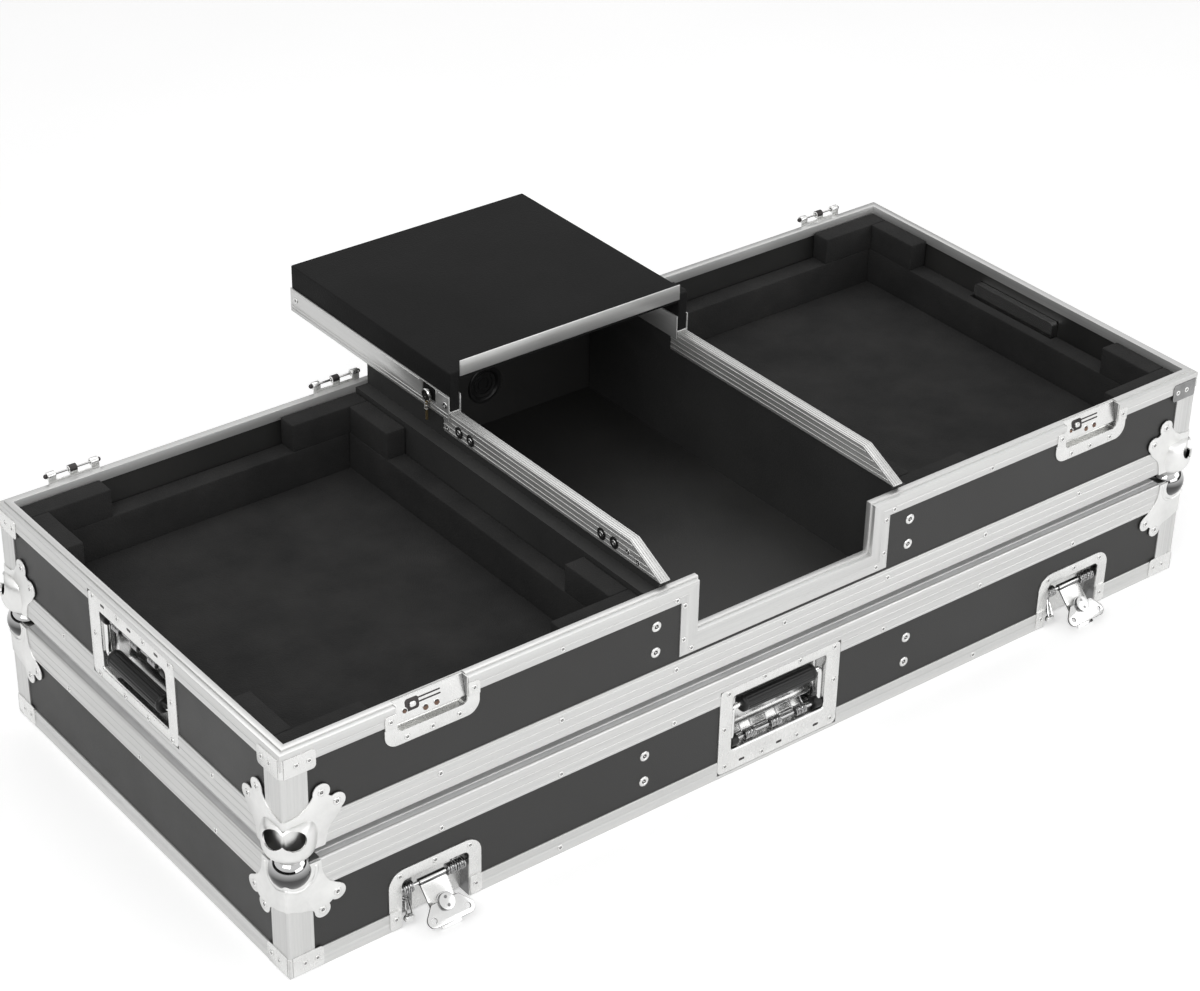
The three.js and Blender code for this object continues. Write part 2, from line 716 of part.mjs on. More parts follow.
function hingeHalf(way, eyes, pins) {
  const leafFrom = eyeRadius + eyeLeafGap;
  const leafTo = leafFrom + hingeLeafDeep - eyeAbove;
  const leaf = block(spread(0, hingeWidth), [-eyeBehind, skin - eyeBehind],
    [way * leafFrom, way * leafTo].sort((a, b) => a - b));
  const knuckles = eyes.flatMap(({ at, width }) => [
    bar("x", eyeRadius, spread(at, width), {}, 16),
    block(spread(at, width), [-eyeBehind, skin - eyeBehind], [0, way * leafTo].sort((a, b) => a - b)),
  ]);
  const bores = pins ? [] : [bar("x", hingeEyeBore, spread(0, hingeWidth + overrun), {}, 12)];
  const stubs = pins ? eyes.map(({ at, width }) =>
    bar("x", hingePin, [at, at + width / 2 + hingePinLength], {}, 12)) : [];
  return union([cut(union([leaf, ...knuckles]), bores), ...stubs]);
}

const eyeEnd = hingeWidth / 2 - eyeWidth / 2;
const baseEyes = [-eyeEnd, 0, eyeEnd].map((at) => ({ at, width: eyeWidth }));
const lidEyes = [-lidEyeOffset, lidEyeOffset].map((at) => ({ at, width: lidEyeWidth }));

// Partitions and rails

const railFrontY = -halfDepth + railFront;
const railTopZ = baseTop + railTop;
const railFootZ = railTopZ - railHeight;
const slopeTilt = Math.hypot(railSlopeRun, railSlopeDrop) / railSlopeRun;

// The rail's outline from the side, drawn in by a wall on its top and its slope
function railOutline(wall, foot, front, rear) {
  const top = railTopZ - wall;
  const drop = (front - railFrontY) * railSlopeDrop / railSlopeRun;
  const frontTop = railTopZ - railSlopeDrop + drop - wall * slopeTilt;
  const kink = railFrontY + railSlopeRun + wall * (slopeTilt - 1) * railSlopeRun / railSlopeDrop;
  return [[front, foot], [rear, foot], [rear, top], [kink, top], [front, frontTop]];
}

function rail(side) {
  const outer = [side * railInner, side * (railInner + railWidth)].sort((a, b) => a - b);
  const inner = [outer[0] + skin, outer[1] - skin];
  const body = sidePlate(outline(railOutline(0, railFootZ, railFrontY, railRear)), outer);
  const core = sidePlate(outline(
    railOutline(skin, railFootZ - overrun, railFrontY - overrun, railRear + overrun)), inner);
  return cut(body, [core]);
}

// A board that stands up into the rail, with a thicker, lower layer on the side of the well
function partition(side) {
  const thin = [railInner + skin, railInner + railWidth - skin];
  const end = innerHalfDepth - (rimWidth - skin - ply) - touchGap;
  const [frontFoot, rearFoot, rearTop, kink, frontTop] =
    railOutline(skin + touchGap, baseFloor, -end, railRear - touchGap);
  const shape = outline([frontFoot, [end, baseFloor], [end, baseTop + partitionRearTop],
    [railRear - touchGap, baseTop + partitionRearTop], rearTop, kink, frontTop]);
  const board = sidePlate(shape, [side * thin[0], side * thin[1]].sort((a, b) => a - b));
  const layer = block([side * thin[1], side * (thin[1] + partitionOuterDepth)].sort((a, b) => a - b),
    [-end, end], [baseFloor, baseTop - partitionStepDrop]);
  return board.add(layer);
}

// Foam fitted to a well: a pad, a strip round the wall and a tall block in each corner
function wellFoam(side) {
  const outerX = innerHalfWidth - foamClear - (rimWidth - skin - ply);
  const innerX = railInner + railWidth - skin + partitionOuterDepth + foamClear;
  const deep = innerHalfDepth - foamClear - (rimWidth - skin - ply);
  const across = [side * innerX, side * outerX].sort((a, b) => a - b);
  const pad = block(across, [-deep, deep], [baseFloor, baseFloor + foamPad]);
  const ring = cut(block(across, [-deep, deep], [baseFloor, baseTop - foamStripTop]),
    [block([across[0] + foamStrip, across[1] - foamStrip], [-deep + foamStrip, deep - foamStrip],
      [baseFloor + foamPad, baseTop])]);
  const blocks = [[0, -1], [0, 1], [1, -1], [1, 1]].flatMap(([end, sy]) => {
    const edge = across[end];
    const inward = end ? -1 : 1;
    const heights = [baseFloor, baseTop - foamBlockTop];
    const alongX = [edge, edge + inward * foamBlockReach].sort((a, b) => a - b);
    const thinX = [edge, edge + inward * foamStrip].sort((a, b) => a - b);
    const alongY = [sy * deep, sy * (deep - foamBlockReach)].sort((a, b) => a - b);
    const thinY = [sy * deep, sy * (deep - foamStrip)].sort((a, b) => a - b);
    return [block(alongX, thinY, heights), block(thinX, alongY, heights)];
  });
  const dishBack = halfWidth - pocketDepth - pressing - foamClear;
  const dishRoom = block([side * dishBack, side * halfWidth].sort((a, b) => a - b),
    [-handleHoleHalf, handleHoleHalf], [baseDishCentre - baseDish.head - pressing - foamClear, baseTop]);
  return cut(union([pad, ring, ...blocks]), [dishRoom]);
}

function cableGrommet() {
  const sleeve = bar("y", portBore + skin, [innerHalfDepth - portFlangeThick, plyHalfDepth + touchGap], portAt);
  const flange = bar("y", portFlange, [innerHalfDepth - portFlangeThick, innerHalfDepth], portAt);
  const bore = bar("y", portBore, [innerHalfDepth - overrun, plyHalfDepth + overrun], portAt);
  return cut(union([sleeve, flange]), [bore]);
}

// Shelf

const runnerInner = railInner - runnerSide - skin;
const runnerOuter = railInner + railWidth + runnerSide + skin;
const runnerFoot = railTopZ - runnerBelow;
const runnerHead = railTopZ + runnerAbove;
const runnerWeb = railTopZ + touchGap;
const boardTopZ = baseTop + boardTop;
const trayFront = shelfFront + skin;

function shelfRunner(side) {
  const across = [side * runnerInner, side * runnerOuter].sort((a, b) => a - b);
  const along = [trayFront, shelfRear];
  const body = block(across, along, [runnerFoot, runnerHead]);
  const slots = [[runnerFoot - overrun, runnerWeb], [runnerWeb + skin, runnerHead + overrun]].map((heights) =>
    block([across[0] + skin, across[1] - skin], [trayFront - overrun, shelfRear + overrun], heights));
  const windowX = [side * (runnerOuter - skin - touchGap), side * (runnerOuter + overrun)].sort((a, b) => a - b);
  const windowY = [shelfFront + windowFront, shelfFront + windowFront + windowLength];
  const window = block(windowX, windowY, [runnerWeb + skin, runnerWeb + skin + windowHeight]);
  return cut(body, [...slots, window]);
}

function shelfTray() {
  const outer = runnerOuter - skin - touchGap;
  const top = block([-outer, outer], [trayFront, shelfRear], [boardTopZ - boardThick, boardTopZ]);
  const sides = [-1, 1].map((side) => block(
    [side * outer, side * (outer - sideBoard + touchGap)].sort((a, b) => a - b),
    [trayFront, shelfRear], [runnerWeb + skin, boardTopZ - boardThick]));
  return union([top, ...sides]);
}

function shelfFrontStrip() {
  const heights = [boardTopZ - stripBelow, boardTopZ + stripAbove];
  return block([-stripHalf, stripHalf], [shelfFront, trayFront], heights);
}

// A spring lock on the outside of a runner: a knob with a pin that hangs beside the rail
function shelfLock(side) {
  const near = runnerOuter + touchGap;
  const middle = shelfFront + windowFront + windowLength / 2;
  const height = runnerWeb + skin + lockKnob - touchGap;
  const knob = bar("x", lockKnob, [side * near, side * (near + lockKnobThick)].sort((a, b) => a - b),
    { y: middle, z: height });
  const pin = bar("z", lockPin, [height - lockPinDrop, height],
    { x: side * (near + lockKnobThick / 2), y: middle }, 12);
  return union([knob, pin]);
}

// The lid, upturned on the floor

place("lid_top_panel", lidTopPanel(), "laminate");
place("lid_front_panel", lidFrontPanel(), "laminate");
place("lid_rear_panel", lidRearPanel(), "laminate");
place("lid_left_panel", sidePanel(-1, [lidWallFoot, lidCeiling]), "laminate");
place("lid_right_panel", sidePanel(1, [lidWallFoot, lidCeiling]), "laminate");
place("lid_edge_frame", lidEdgeFrame(), "aluminium");
place("lid_rim_frame", lidRimFrame(), "aluminium");

// The base, standing on the lid's ball corners

place("base_bottom_panel", baseBottomPanel(), "laminate");
place("base_front_panel", baseFrontPanel(), "laminate");
place("base_rear_panel", baseRearPanel(), "laminate");
[[-1, "left"], [1, "right"]].forEach(([side, name]) => {
  const wall = cut(sidePanel(side, [baseFloor, baseWallTop]), [sideHandleHole(side)]);
  place(`base_${name}_panel`, wall, "laminate");
});
place("base_edge_frame", baseEdgeFrame(), "aluminium");
place("base_rim_frame", baseRimFrame(), "aluminium");

// One corner solid of each kind, turned a quarter for each next corner
const corners = [["front_left", -1, -1], ["front_right", 1, -1], ["rear_right", 1, 1], ["rear_left", -1, 1]];
const lidCorner = ballCorner();
const baseCorner = stackCorner();
corners.forEach(([name, sx, sy], quarter) => {
  const turn = quarter * Math.PI / 2;
  place(`lid_ball_corner_${name}`, lidCorner, "chrome",
    groupAt(sx * halfWidth, sy * halfDepth, lidHeight), turn);
  place(`base_stack_corner_${name}`, baseCorner, "chrome",
    groupAt(sx * halfWidth, sy * halfDepth, baseFoot), turn);
});

addHandle("lid_handle", groupAt(0, -halfDepth, lidDishCentre), lidDish);
[[-1, "left"], [1, "right"]].forEach(([side, name]) => {
  const group = groupAt(side * halfWidth, 0, baseDishCentre);
  group.rotation.set(0, Math.PI, -side * Math.PI / 2);
  addHandle(`base_${name}_handle`, group, baseDish);
  addLatch(`latch_${name}`, side * latchOffset);
  place(`keeper_${name}`, keeper(), "steel", groupAt(side * keeperOffset, -halfDepth, baseTop));
  place(`rail_${name}`, rail(side), "aluminium");
  place(`partition_${name}`, partition(side), "laminate");
  place(`foam_${name}`, wellFoam(side), "foam");
  place(`shelf_runner_${name}`, shelfRunner(side), "aluminium");
  place(`shelf_lock_${name}`, shelfLock(side), "steel");
});

hingePlaces.forEach((x, i) => {
  place(`lid_hinge_${hingeNames[i]}`, hingeHalf(1, lidEyes, true), "steel",
    groupAt(x, halfDepth + eyeBehind, eyeAbove));
  place(`base_hinge_${hingeNames[i]}`, hingeHalf(-1, baseEyes, false), "steel",
    groupAt(x, halfDepth + eyeBehind, baseTop + eyeAbove));
});

place("cable_grommet", cableGrommet(), "plastic");
place("shelf_tray", shelfTray(), "laminate");
place("shelf_front_strip", shelfFrontStrip(), "aluminium");

// The footprint's middle becomes the origin
const footprint = new THREE.Box3().setFromObject(coffinCase, true);
coffinCase.position.y = -(footprint.min.y + footprint.max.y) / 2;

export default coffinCase;
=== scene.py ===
# %% [markdown]
# # A flight case, dressed for its picture
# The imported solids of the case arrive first, as a frame that never moves. Every piece made below
# sits where that frame says and rides on one of its bodies. The finished picture is a case for two
# turntables and a mixer: black laminate boards, held in aluminium extrusions with pressed fittings.
# %% The frame
import math

import bmesh
import bpy
import numpy as np
from mathutils import Matrix, Vector


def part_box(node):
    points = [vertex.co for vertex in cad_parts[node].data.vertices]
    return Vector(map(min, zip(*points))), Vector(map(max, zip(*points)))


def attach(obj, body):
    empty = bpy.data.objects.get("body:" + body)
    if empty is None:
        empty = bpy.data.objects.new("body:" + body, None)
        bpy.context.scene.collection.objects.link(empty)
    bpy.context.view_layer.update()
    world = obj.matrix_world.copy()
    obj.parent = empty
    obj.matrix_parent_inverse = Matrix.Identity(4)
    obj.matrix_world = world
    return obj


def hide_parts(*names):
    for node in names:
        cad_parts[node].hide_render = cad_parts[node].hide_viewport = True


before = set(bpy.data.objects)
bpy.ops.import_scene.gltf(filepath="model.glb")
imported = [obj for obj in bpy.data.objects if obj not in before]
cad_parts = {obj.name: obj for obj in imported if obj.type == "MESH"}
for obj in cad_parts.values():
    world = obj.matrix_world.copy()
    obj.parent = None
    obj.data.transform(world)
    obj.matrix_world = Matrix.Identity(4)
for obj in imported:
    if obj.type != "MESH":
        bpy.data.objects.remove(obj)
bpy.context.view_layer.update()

# %% [markdown]
# Lengths below are in millimetres, counted from the middle of the case on the floor, because that
# is how a maker reads a drawing. One number turns them into metres, and one moves the case's
# middle to where the frame has it: the shelf reaches out behind, so the two middles differ.
# %% Measures taken from the frame
MM = 0.001
lip_low, lip_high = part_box("lid_rim_frame")
MIDDLE_Y = (lip_low.y + lip_high.y) / 2 / MM
HALF_WIDTH = lip_high.x / MM
HALF_DEPTH = (lip_high.y - lip_low.y) / 2 / MM
LID_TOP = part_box("lid_edge_frame")[1].z / MM
BASE_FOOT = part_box("base_edge_frame")[0].z / MM
BASE_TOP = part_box("base_rim_frame")[1].z / MM


def from_middle(corners):
    """A box's two corners in millimetres, counted from the middle of the case."""
    return [np.array(corner) / MM - np.array([0, MIDDLE_Y, 0]) for corner in corners]


print("half width", round(HALF_WIDTH, 1), "half depth", round(HALF_DEPTH, 1))
print("lid top", round(LID_TOP, 1), "base from", round(BASE_FOOT, 1), "to", round(BASE_TOP, 1))

# %% [markdown]
# The camera stands where the photograph was taken from. It is placed by its turn round the case,
# its height angle, its roll and its distance from a target point. A long lens, 85 mm on a 36 mm
# sensor, keeps the long edges of the case nearly parallel.
# %% Camera
PICTURE_WIDTH = 1200
PICTURE_HEIGHT = 991
FOCAL_PIXELS = 2839.969
SENSOR = 36
OPTICAL_MIDDLE = (596.97, 495.5)
CAMERA_TURN, CAMERA_LIFT, CAMERA_ROLL = -38.301, 31.577, 1.209
CAMERA_TARGET = (158.972, 246.558)
CAMERA_DISTANCE = 3.347314
FAR_CLIP = 50

turn, lift, roll = (math.radians(a) for a in (CAMERA_TURN, CAMERA_LIFT, CAMERA_ROLL))
target = Vector((CAMERA_TARGET[0], CAMERA_TARGET[1] + MIDDLE_Y, 0)) * MM
back = Vector((math.sin(turn) * math.cos(lift), -math.cos(turn) * math.cos(lift), math.sin(lift)))
right = Vector((math.cos(turn), math.sin(turn), 0))
up = back.cross(right)
rolled_right = right * math.cos(roll) + up * math.sin(roll)
rolled_up = up * math.cos(roll) - right * math.sin(roll)

lens = bpy.data.cameras.new("camera")
lens.sensor_width = SENSOR
lens.lens = FOCAL_PIXELS / PICTURE_WIDTH * SENSOR
lens.shift_x = (PICTURE_WIDTH / 2 - OPTICAL_MIDDLE[0]) / PICTURE_WIDTH
lens.shift_y = (OPTICAL_MIDDLE[1] - PICTURE_HEIGHT / 2) / PICTURE_WIDTH
lens.clip_end = FAR_CLIP
camera = bpy.data.objects.new("camera", lens)
bpy.context.scene.collection.objects.link(camera)
axes = Matrix((rolled_right, rolled_up, back)).transposed().to_4x4()
camera.matrix_world = Matrix.Translation(target + back * CAMERA_DISTANCE) @ axes
bpy.context.scene.camera = camera
print("lens", round(lens.lens, 2), "mm")

# %% [markdown]
# ## Materials
# Each finish is a small tree of shader nodes that reads Object coordinates, so a pattern stays on
# its piece and keeps its real size. The helpers below make the few nodes that every finish needs:
# a noise, a ramp from a number to a colour, and a bump.
# %% Helpers for shader nodes
def finish_tree(name, metallic=0.0, roughness=0.5):
    material = bpy.data.materials.new(name)
    material.use_nodes = True
    tree = material.node_tree
    shader = tree.nodes["Principled BSDF"]
    shader.inputs["Metallic"].default_value = metallic
    shader.inputs["Roughness"].default_value = roughness
    return material, tree, shader


def noise_of(tree, scale, detail=3.0, roughness=0.5, stretch=(1, 1, 1)):
    place = tree.nodes.new("ShaderNodeTexCoord")
    mapping = tree.nodes.new("ShaderNodeMapping")
    mapping.inputs["Scale"].default_value = stretch
    noise = tree.nodes.new("ShaderNodeTexNoise")
    noise.inputs["Scale"].default_value = scale
    noise.inputs["Detail"].default_value = detail
    noise.inputs["Roughness"].default_value = roughness
    tree.links.new(place.outputs["Object"], mapping.inputs["Vector"])
    tree.links.new(mapping.outputs["Vector"], noise.inputs["Vector"])
    return noise.outputs["Fac"]


def ramp_of(tree, value, stops):
    ramp = tree.nodes.new("ShaderNodeValToRGB")
    tree.links.new(value, ramp.inputs["Fac"])
    spots = ramp.color_ramp.elements
    while len(spots) < len(stops):
        spots.new(0.5)
    for spot, (position, colour) in zip(spots, stops):
        spot.position = position
        spot.color = (*colour, 1) if len(colour) == 3 else (colour[0],) * 3 + (1,)
    return ramp.outputs["Color"]


def bump_of(tree, shader, height, strength, distance, before=None):
    bump = tree.nodes.new("ShaderNodeBump")
    bump.inputs["Strength"].default_value = strength
    bump.inputs["Distance"].default_value = distance
    tree.links.new(height, bump.inputs["Height"])
    if before is not None:
        tree.links.new(before, bump.inputs["Normal"])
    tree.links.new(bump.outputs["Normal"], shader.inputs["Normal"])
    return bump.outputs["Normal"]


print("finish helpers ready: tree, noise, ramp and bump")

# %% [markdown]
# Extruded aluminium is drawn through a die, so it carries fine straight lines along its length and
# reads as satin, not as a mirror. A noise that is stretched a few hundred times along one axis
# gives those lines. The three copies differ only in that axis: one for each way a length can run.
# %% Aluminium
def drawn_aluminium(axis):
    stretch = [260.0] * 3
    stretch[axis] = 1.2
    material, tree, shader = finish_tree("aluminium_along_" + "xyz"[axis], 0.7, 0.38)
    lines = noise_of(tree, 1.0, 4.0, 0.65, stretch)
    patches = noise_of(tree, 9.0, 2.0)
    tint = ramp_of(tree, lines, [(0.25, (0.58, 0.58, 0.575)), (0.75, (0.69, 0.69, 0.68))])
    tree.links.new(tint, shader.inputs["Base Color"])
    rough = ramp_of(tree, patches, [(0.3, (0.33,)), (0.7, (0.45,))])
    tree.links.new(rough, shader.inputs["Roughness"])
    bump_of(tree, shader, lines, 0.12, 0.0006)
    return material


def flange_painted_light():
    """The flange in the gap between the halves: paler and nearly matte, painted light that lifts it out of
    the gap's shade.
    """
    material, tree, shader = finish_tree("aluminium_painted_light", 0.15, 0.5)
    wear = noise_of(tree, 24.0, 4.0, 0.6)
    tree.links.new(ramp_of(tree, wear, [(0.3, (0.70,) * 3), (0.7, (0.80,) * 3)]), shader.inputs["Base Color"])
    bump_of(tree, shader, wear, 0.1, 0.0005)
    return material


ALUMINIUM = [drawn_aluminium(axis) for axis in range(3)]
EDGING = ALUMINIUM + [flange_painted_light()]
print("aluminium finishes:", len(EDGING))

# %% [markdown]
# The pressed fittings are plated steel. Zinc plate on the dishes, keepers and corner plates is bright
# but a little cloudy, while the balls and latch wings are polished closer to a mirror. All carry
# faint scuffs, which show as changes in roughness rather than in colour.
# %% Plated steel and chrome
def plated(name, colour, roughness, cloud, scuff=0.1):
    material, tree, shader = finish_tree(name, 1.0, roughness)
    patches = noise_of(tree, 38.0, 4.0, 0.6)
    low = tuple(c * (1 - cloud) for c in colour)
    tint = ramp_of(tree, patches, [(0.3, low), (0.7, colour)])
    tree.links.new(tint, shader.inputs["Base Color"])
    scuffs = noise_of(tree, 160.0, 5.0, 0.7, (1, 1, 0.4))
    rough = ramp_of(tree, scuffs, [(0.35, (roughness,)), (0.75, (roughness + scuff,))])
    tree.links.new(rough, shader.inputs["Roughness"])
    bump_of(tree, shader, patches, 0.08, 0.0008)
    return material


ZINC = plated("pressed_zinc", (0.76, 0.76, 0.75), 0.24, 0.1)
PLATE_ZINC = plated("cloudy_zinc", (0.80, 0.80, 0.79), 0.36, 0.12)
WING_CHROME = plated("polished_wing", (0.70, 0.70, 0.695), 0.2, 0.08, 0.08)
WALL_STEEL = plated("shaded_steel", (0.26, 0.26, 0.26), 0.2, 0.3)
CHROME = plated("bright_plate", (0.78, 0.78, 0.775), 0.1, 0.06, 0.08)
SPRING_STEEL = plated("spring_steel", (0.42, 0.42, 0.42), 0.2, 0.25)
BRASS = plated("brass_pin", (0.72, 0.55, 0.28), 0.28, 0.1)
DARK_STEEL = plated("dark_steel", (0.07, 0.065, 0.065), 0.4, 0.3)


def ball_painted_reflection(low, high):
    """Mirror chrome whose colour follows height: painted reflection, bright near the top, darkest round the
    middle and a little lighter at the foot.
    """
    material, tree, shader = finish_tree("ball_painted_reflection", 1.0, 0.05)
    place = tree.nodes.new("ShaderNodeTexCoord")
    parts = tree.nodes.new("ShaderNodeSeparateXYZ")
    tree.links.new(place.outputs["Object"], parts.inputs["Vector"])
    share = tree.nodes.new("ShaderNodeMapRange")
    share.inputs["From Min"].default_value = low * MM
    share.inputs["From Max"].default_value = high * MM
    tree.links.new(parts.outputs["Z"], share.inputs["Value"])
    tint = ramp_of(tree, share.outputs["Result"],
                   [(0.0, (0.28,)), (0.22, (0.11,)), (0.5, (0.07,)), (0.8, (0.55,))])
    tree.links.new(tint, shader.inputs["Base Color"])
    scuffs = noise_of(tree, 160.0, 5.0, 0.7)
    tree.links.new(ramp_of(tree, scuffs, [(0.35, (0.04,)), (0.75, (0.07,))]), shader.inputs["Roughness"])
    return material


BALL_CHROME = ball_painted_reflection(LID_TOP - 27, LID_TOP + 12)
# A darker chrome for painted shade and painted dark reflection: inside the stacking cups and on one corner
# brace.
CHROME_PAINTED_SHADE = plated("dark_chrome_painted_shade", (0.34, 0.34, 0.34), 0.16, 0.4, 0.1)
print("plated finishes made")

# %% [markdown]
# The boards are plywood under a dark grey laminate, pressed with a fine pebbled skin so that it
# doesn't show scratches. Two scales of noise make it: pebbles of about a millimetre for the bump,
# and broad, faint clouds in the colour where hands and vans have rubbed it.
# %% Laminate, rubber and plastic
def pebbled(name, dark, light, roughness, size, depth, cloud=6.0, gloss=0.5):
    material, tree, shader = finish_tree(name, 0.0, roughness)
    shader.inputs["Specular IOR Level"].default_value = gloss
    pebbles = noise_of(tree, size, 2.0, 0.5)
    clouds = noise_of(tree, cloud, 4.0, 0.6)
    tint = ramp_of(tree, clouds, [(0.3, dark), (0.72, light)])
    speck = tree.nodes.new("ShaderNodeMix")
    speck.data_type = "RGBA"
    speck.blend_type = "MULTIPLY"
    speck.inputs[0].default_value = 0.5
    shade = ramp_of(tree, pebbles, [(0.35, (0.7,)), (0.65, (1.0,))])
    tree.links.new(tint, speck.inputs[6])
    tree.links.new(shade, speck.inputs[7])
    tree.links.new(speck.outputs[2], shader.inputs["Base Color"])
    rough = ramp_of(tree, clouds, [(0.3, (roughness - 0.08,)), (0.7, (roughness + 0.08,))])
    tree.links.new(rough, shader.inputs["Roughness"])
    bump_of(tree, shader, pebbles, 0.5, depth)
    return material


LAMINATE = pebbled("pebbled_laminate", (0.019, 0.019, 0.0185), (0.028, 0.0275, 0.0265), 0.5, 900, 0.0004,
                   gloss=0.45)
LINING = pebbled("black_lining", (0.016, 0.016, 0.016), (0.028, 0.028, 0.027), 0.75, 700, 0.0005)
RUBBER = pebbled("moulded_rubber", (0.006, 0.006, 0.006), (0.011, 0.0105, 0.0105), 0.4, 1400, 0.0002,
                 gloss=0.35)
PLASTIC = pebbled("black_plastic", (0.010, 0.010, 0.010), (0.016, 0.016, 0.016), 0.38, 2200, 0.0001)
SHELF_SKIN = pebbled("shelf_skin", (0.006, 0.006, 0.006), (0.011, 0.011, 0.011), 0.8, 520, 0.0009, gloss=0.18)
PLYWOOD = pebbled("bare_plywood", (0.17, 0.10, 0.075), (0.27, 0.18, 0.13), 0.7, 300, 0.0002, 60.0, 0.2)
print("boards and mouldings made")

# %% [markdown]
# Packing foam is a sponge of tiny cells. Up close it is a mass of pits, from a metre away a soft,
# dull charcoal that never shines. A fine Voronoi gives the pits and a broad noise the dust.
# %% Foam
def cell_foam():
    material, tree, shader = finish_tree("charcoal_foam", 0.0, 0.95)
    dust = noise_of(tree, 14.0, 4.0, 0.6)
    tint = ramp_of(tree, dust, [(0.3, (0.020, 0.020, 0.020)), (0.72, (0.035, 0.0345, 0.034))])
    tree.links.new(tint, shader.inputs["Base Color"])
    shader.inputs["Specular IOR Level"].default_value = 0.2
    place = tree.nodes.new("ShaderNodeTexCoord")
    cells = tree.nodes.new("ShaderNodeTexVoronoi")
    cells.inputs["Scale"].default_value = 650
    tree.links.new(place.outputs["Object"], cells.inputs["Vector"])
    bump_of(tree, shader, cells.outputs["Distance"], 0.6, 0.0009)
    return material


FOAM = cell_foam()
print("foam made")

# %% [markdown]
# ## Shapes
# Nearly every fitting here is a chain of closed rings: a bar is circles along a path, a plate is an
# outline repeated with softened edges, a pressed dish is a row of rounded rectangles that dive into
# the board. So one function skins a chain of rings into a closed solid.
# %% Rings and skins
class Shell:
    """A closed surface: its points in millimetres, its faces, and a finish number for each face."""

    def __init__(self, points, faces, marks=None):
        self.points = np.asarray(points, float)
        self.faces = [tuple(face) for face in faces]
        self.marks = marks or [0] * len(self.faces)


def skinned(rings, closed=False, marks=None):
    rings = np.asarray(rings, float)
    count, size = rings.shape[:2]
    faces, numbers = [], []
    for i in range(count if closed else count - 1):
        near, far = i * size, (i + 1) % count * size
        for j in range(size):
            k = (j + 1) % size
            faces.append((near + j, far + j, far + k, near + k))
            numbers.append(marks[i] if marks else 0)
    if not closed:
        faces += [tuple(range(size)), tuple(range((count - 1) * size, count * size))[::-1]]
        numbers += [0, 0]
    return Shell(rings.reshape(-1, 3), faces, numbers)


def ring(radius, height, steps=24, start=0.0):
    angles = start + np.arange(steps) * 2 * math.pi / steps
    return np.stack([radius * np.cos(angles), radius * np.sin(angles), np.full(steps, height)], 1)


def lathe(profile, steps=24):
    return skinned([ring(radius, height, steps) for radius, height in profile])


def rounded_rectangle(low, high, radius, height, steps=5):
    points = []
    for quarter, (cx, cy) in enumerate([(high[0], high[1]), (low[0], high[1]),
                                        (low[0], low[1]), (high[0], low[1])]):
        r = radius if np.isscalar(radius) else radius[quarter]
        sx, sy = (1 if quarter in (0, 3) else -1), (1 if quarter in (0, 1) else -1)
        for k in range(steps + 1):
            angle = (quarter + k / steps) * math.pi / 2
            points.append((cx - sx * r + r * math.cos(angle), cy - sy * r + r * math.sin(angle), height))
    return np.array(points)


def inset(outline, distance):
    """The outline drawn in by a distance, each point along the bisector of its two sides."""
    flat = np.asarray(outline, float)[:, :2]
    before, after = flat - np.roll(flat, 1, 0), np.roll(flat, -1, 0) - flat
    area = np.sum(flat[:, 0] * np.roll(flat[:, 1], -1) - flat[:, 1] * np.roll(flat[:, 0], -1))
    sides = []
    for side in (before, after):
        length = np.maximum(np.linalg.norm(side, axis=1), 1e-9)[:, None]
        unit = side / length
        sides.append(np.stack([-unit[:, 1], unit[:, 0]], 1) * np.sign(area))
    bisector = sides[0] + sides[1]
    bisector /= np.maximum(np.linalg.norm(bisector, axis=1), 1e-9)[:, None]
    reach = distance / np.maximum(np.sum(bisector * sides[0], 1), 0.5)
    return flat + bisector * reach[:, None]


def plate(outline, low, high, edge=0.4, both=False):
    """An outline given thickness along Z, with its upper edge (or both edges) softened."""
    outline = np.asarray(outline, float)[:, :2]

    def at(height, drawn_in):
        flat = inset(outline, drawn_in) if drawn_in else outline
        return np.column_stack([flat, np.full(len(flat), height)])

    rings = [at(low, edge), at(low + edge * 0.3, edge * 0.3), at(low + edge, 0)] if both else [at(low, 0)]
    rings += [at(high - edge, 0), at(high - edge * 0.3, edge * 0.3), at(high, edge)]
    return skinned(rings)


def rod(path, radius, steps=12, ends=0.5):
    """A round bar along a path of points, with slightly rounded ends."""
    path = [Vector(p) for p in path]
    rings, side = [], None
    for i, point in enumerate(path):
        ahead = (path[min(i + 1, len(path) - 1)] - path[max(i - 1, 0)]).normalized()
        if side is None:
            side = ahead.orthogonal().normalized()
        side = (side - ahead * side.dot(ahead)).normalized()
        other = ahead.cross(side)
        last = i in (0, len(path) - 1)
        sizes = [(radius, 0.0)]
        if last and ends:
            sizes = [(radius, -ends), (radius - ends, 0.0)] if i else [(radius - ends, 0.0), (radius, ends)]
        for size, along in sizes:
            rings.append([point + ahead * along + side * size * math.cos(a) + other * size * math.sin(a)
                          for a in np.arange(steps) * 2 * math.pi / steps])
    return skinned(np.array([[tuple(p) for p in circle] for circle in rings]))


def box_shell(low, high):
    low, high = np.minimum(low, high), np.maximum(low, high)
    outline = [(low[0], low[1]), (high[0], low[1]), (high[0], high[1]), (low[0], high[1])]
    return skinned([[(x, y, z) for x, y in outline] for z in (low[2], high[2])])


def moved(shell, *matrices):
    """The shell after each matrix in turn; mesh_of() turns a mirrored one's faces outwards again."""
    points = shell.points
    for matrix in matrices:
        m = np.array(matrix)
        points = points @ m[:3, :3].T + m[:3, 3]
    return Shell(points, shell.faces, shell.marks)


def all_moved(shells, *matrices):
    return [moved(shell, *matrices) for shell in shells]


def slide(x=0.0, y=0.0, z=0.0):
    return Matrix.Translation((x, y, z))


def spin(degrees, axis="Z"):
    return Matrix.Rotation(math.radians(degrees), 4, axis)


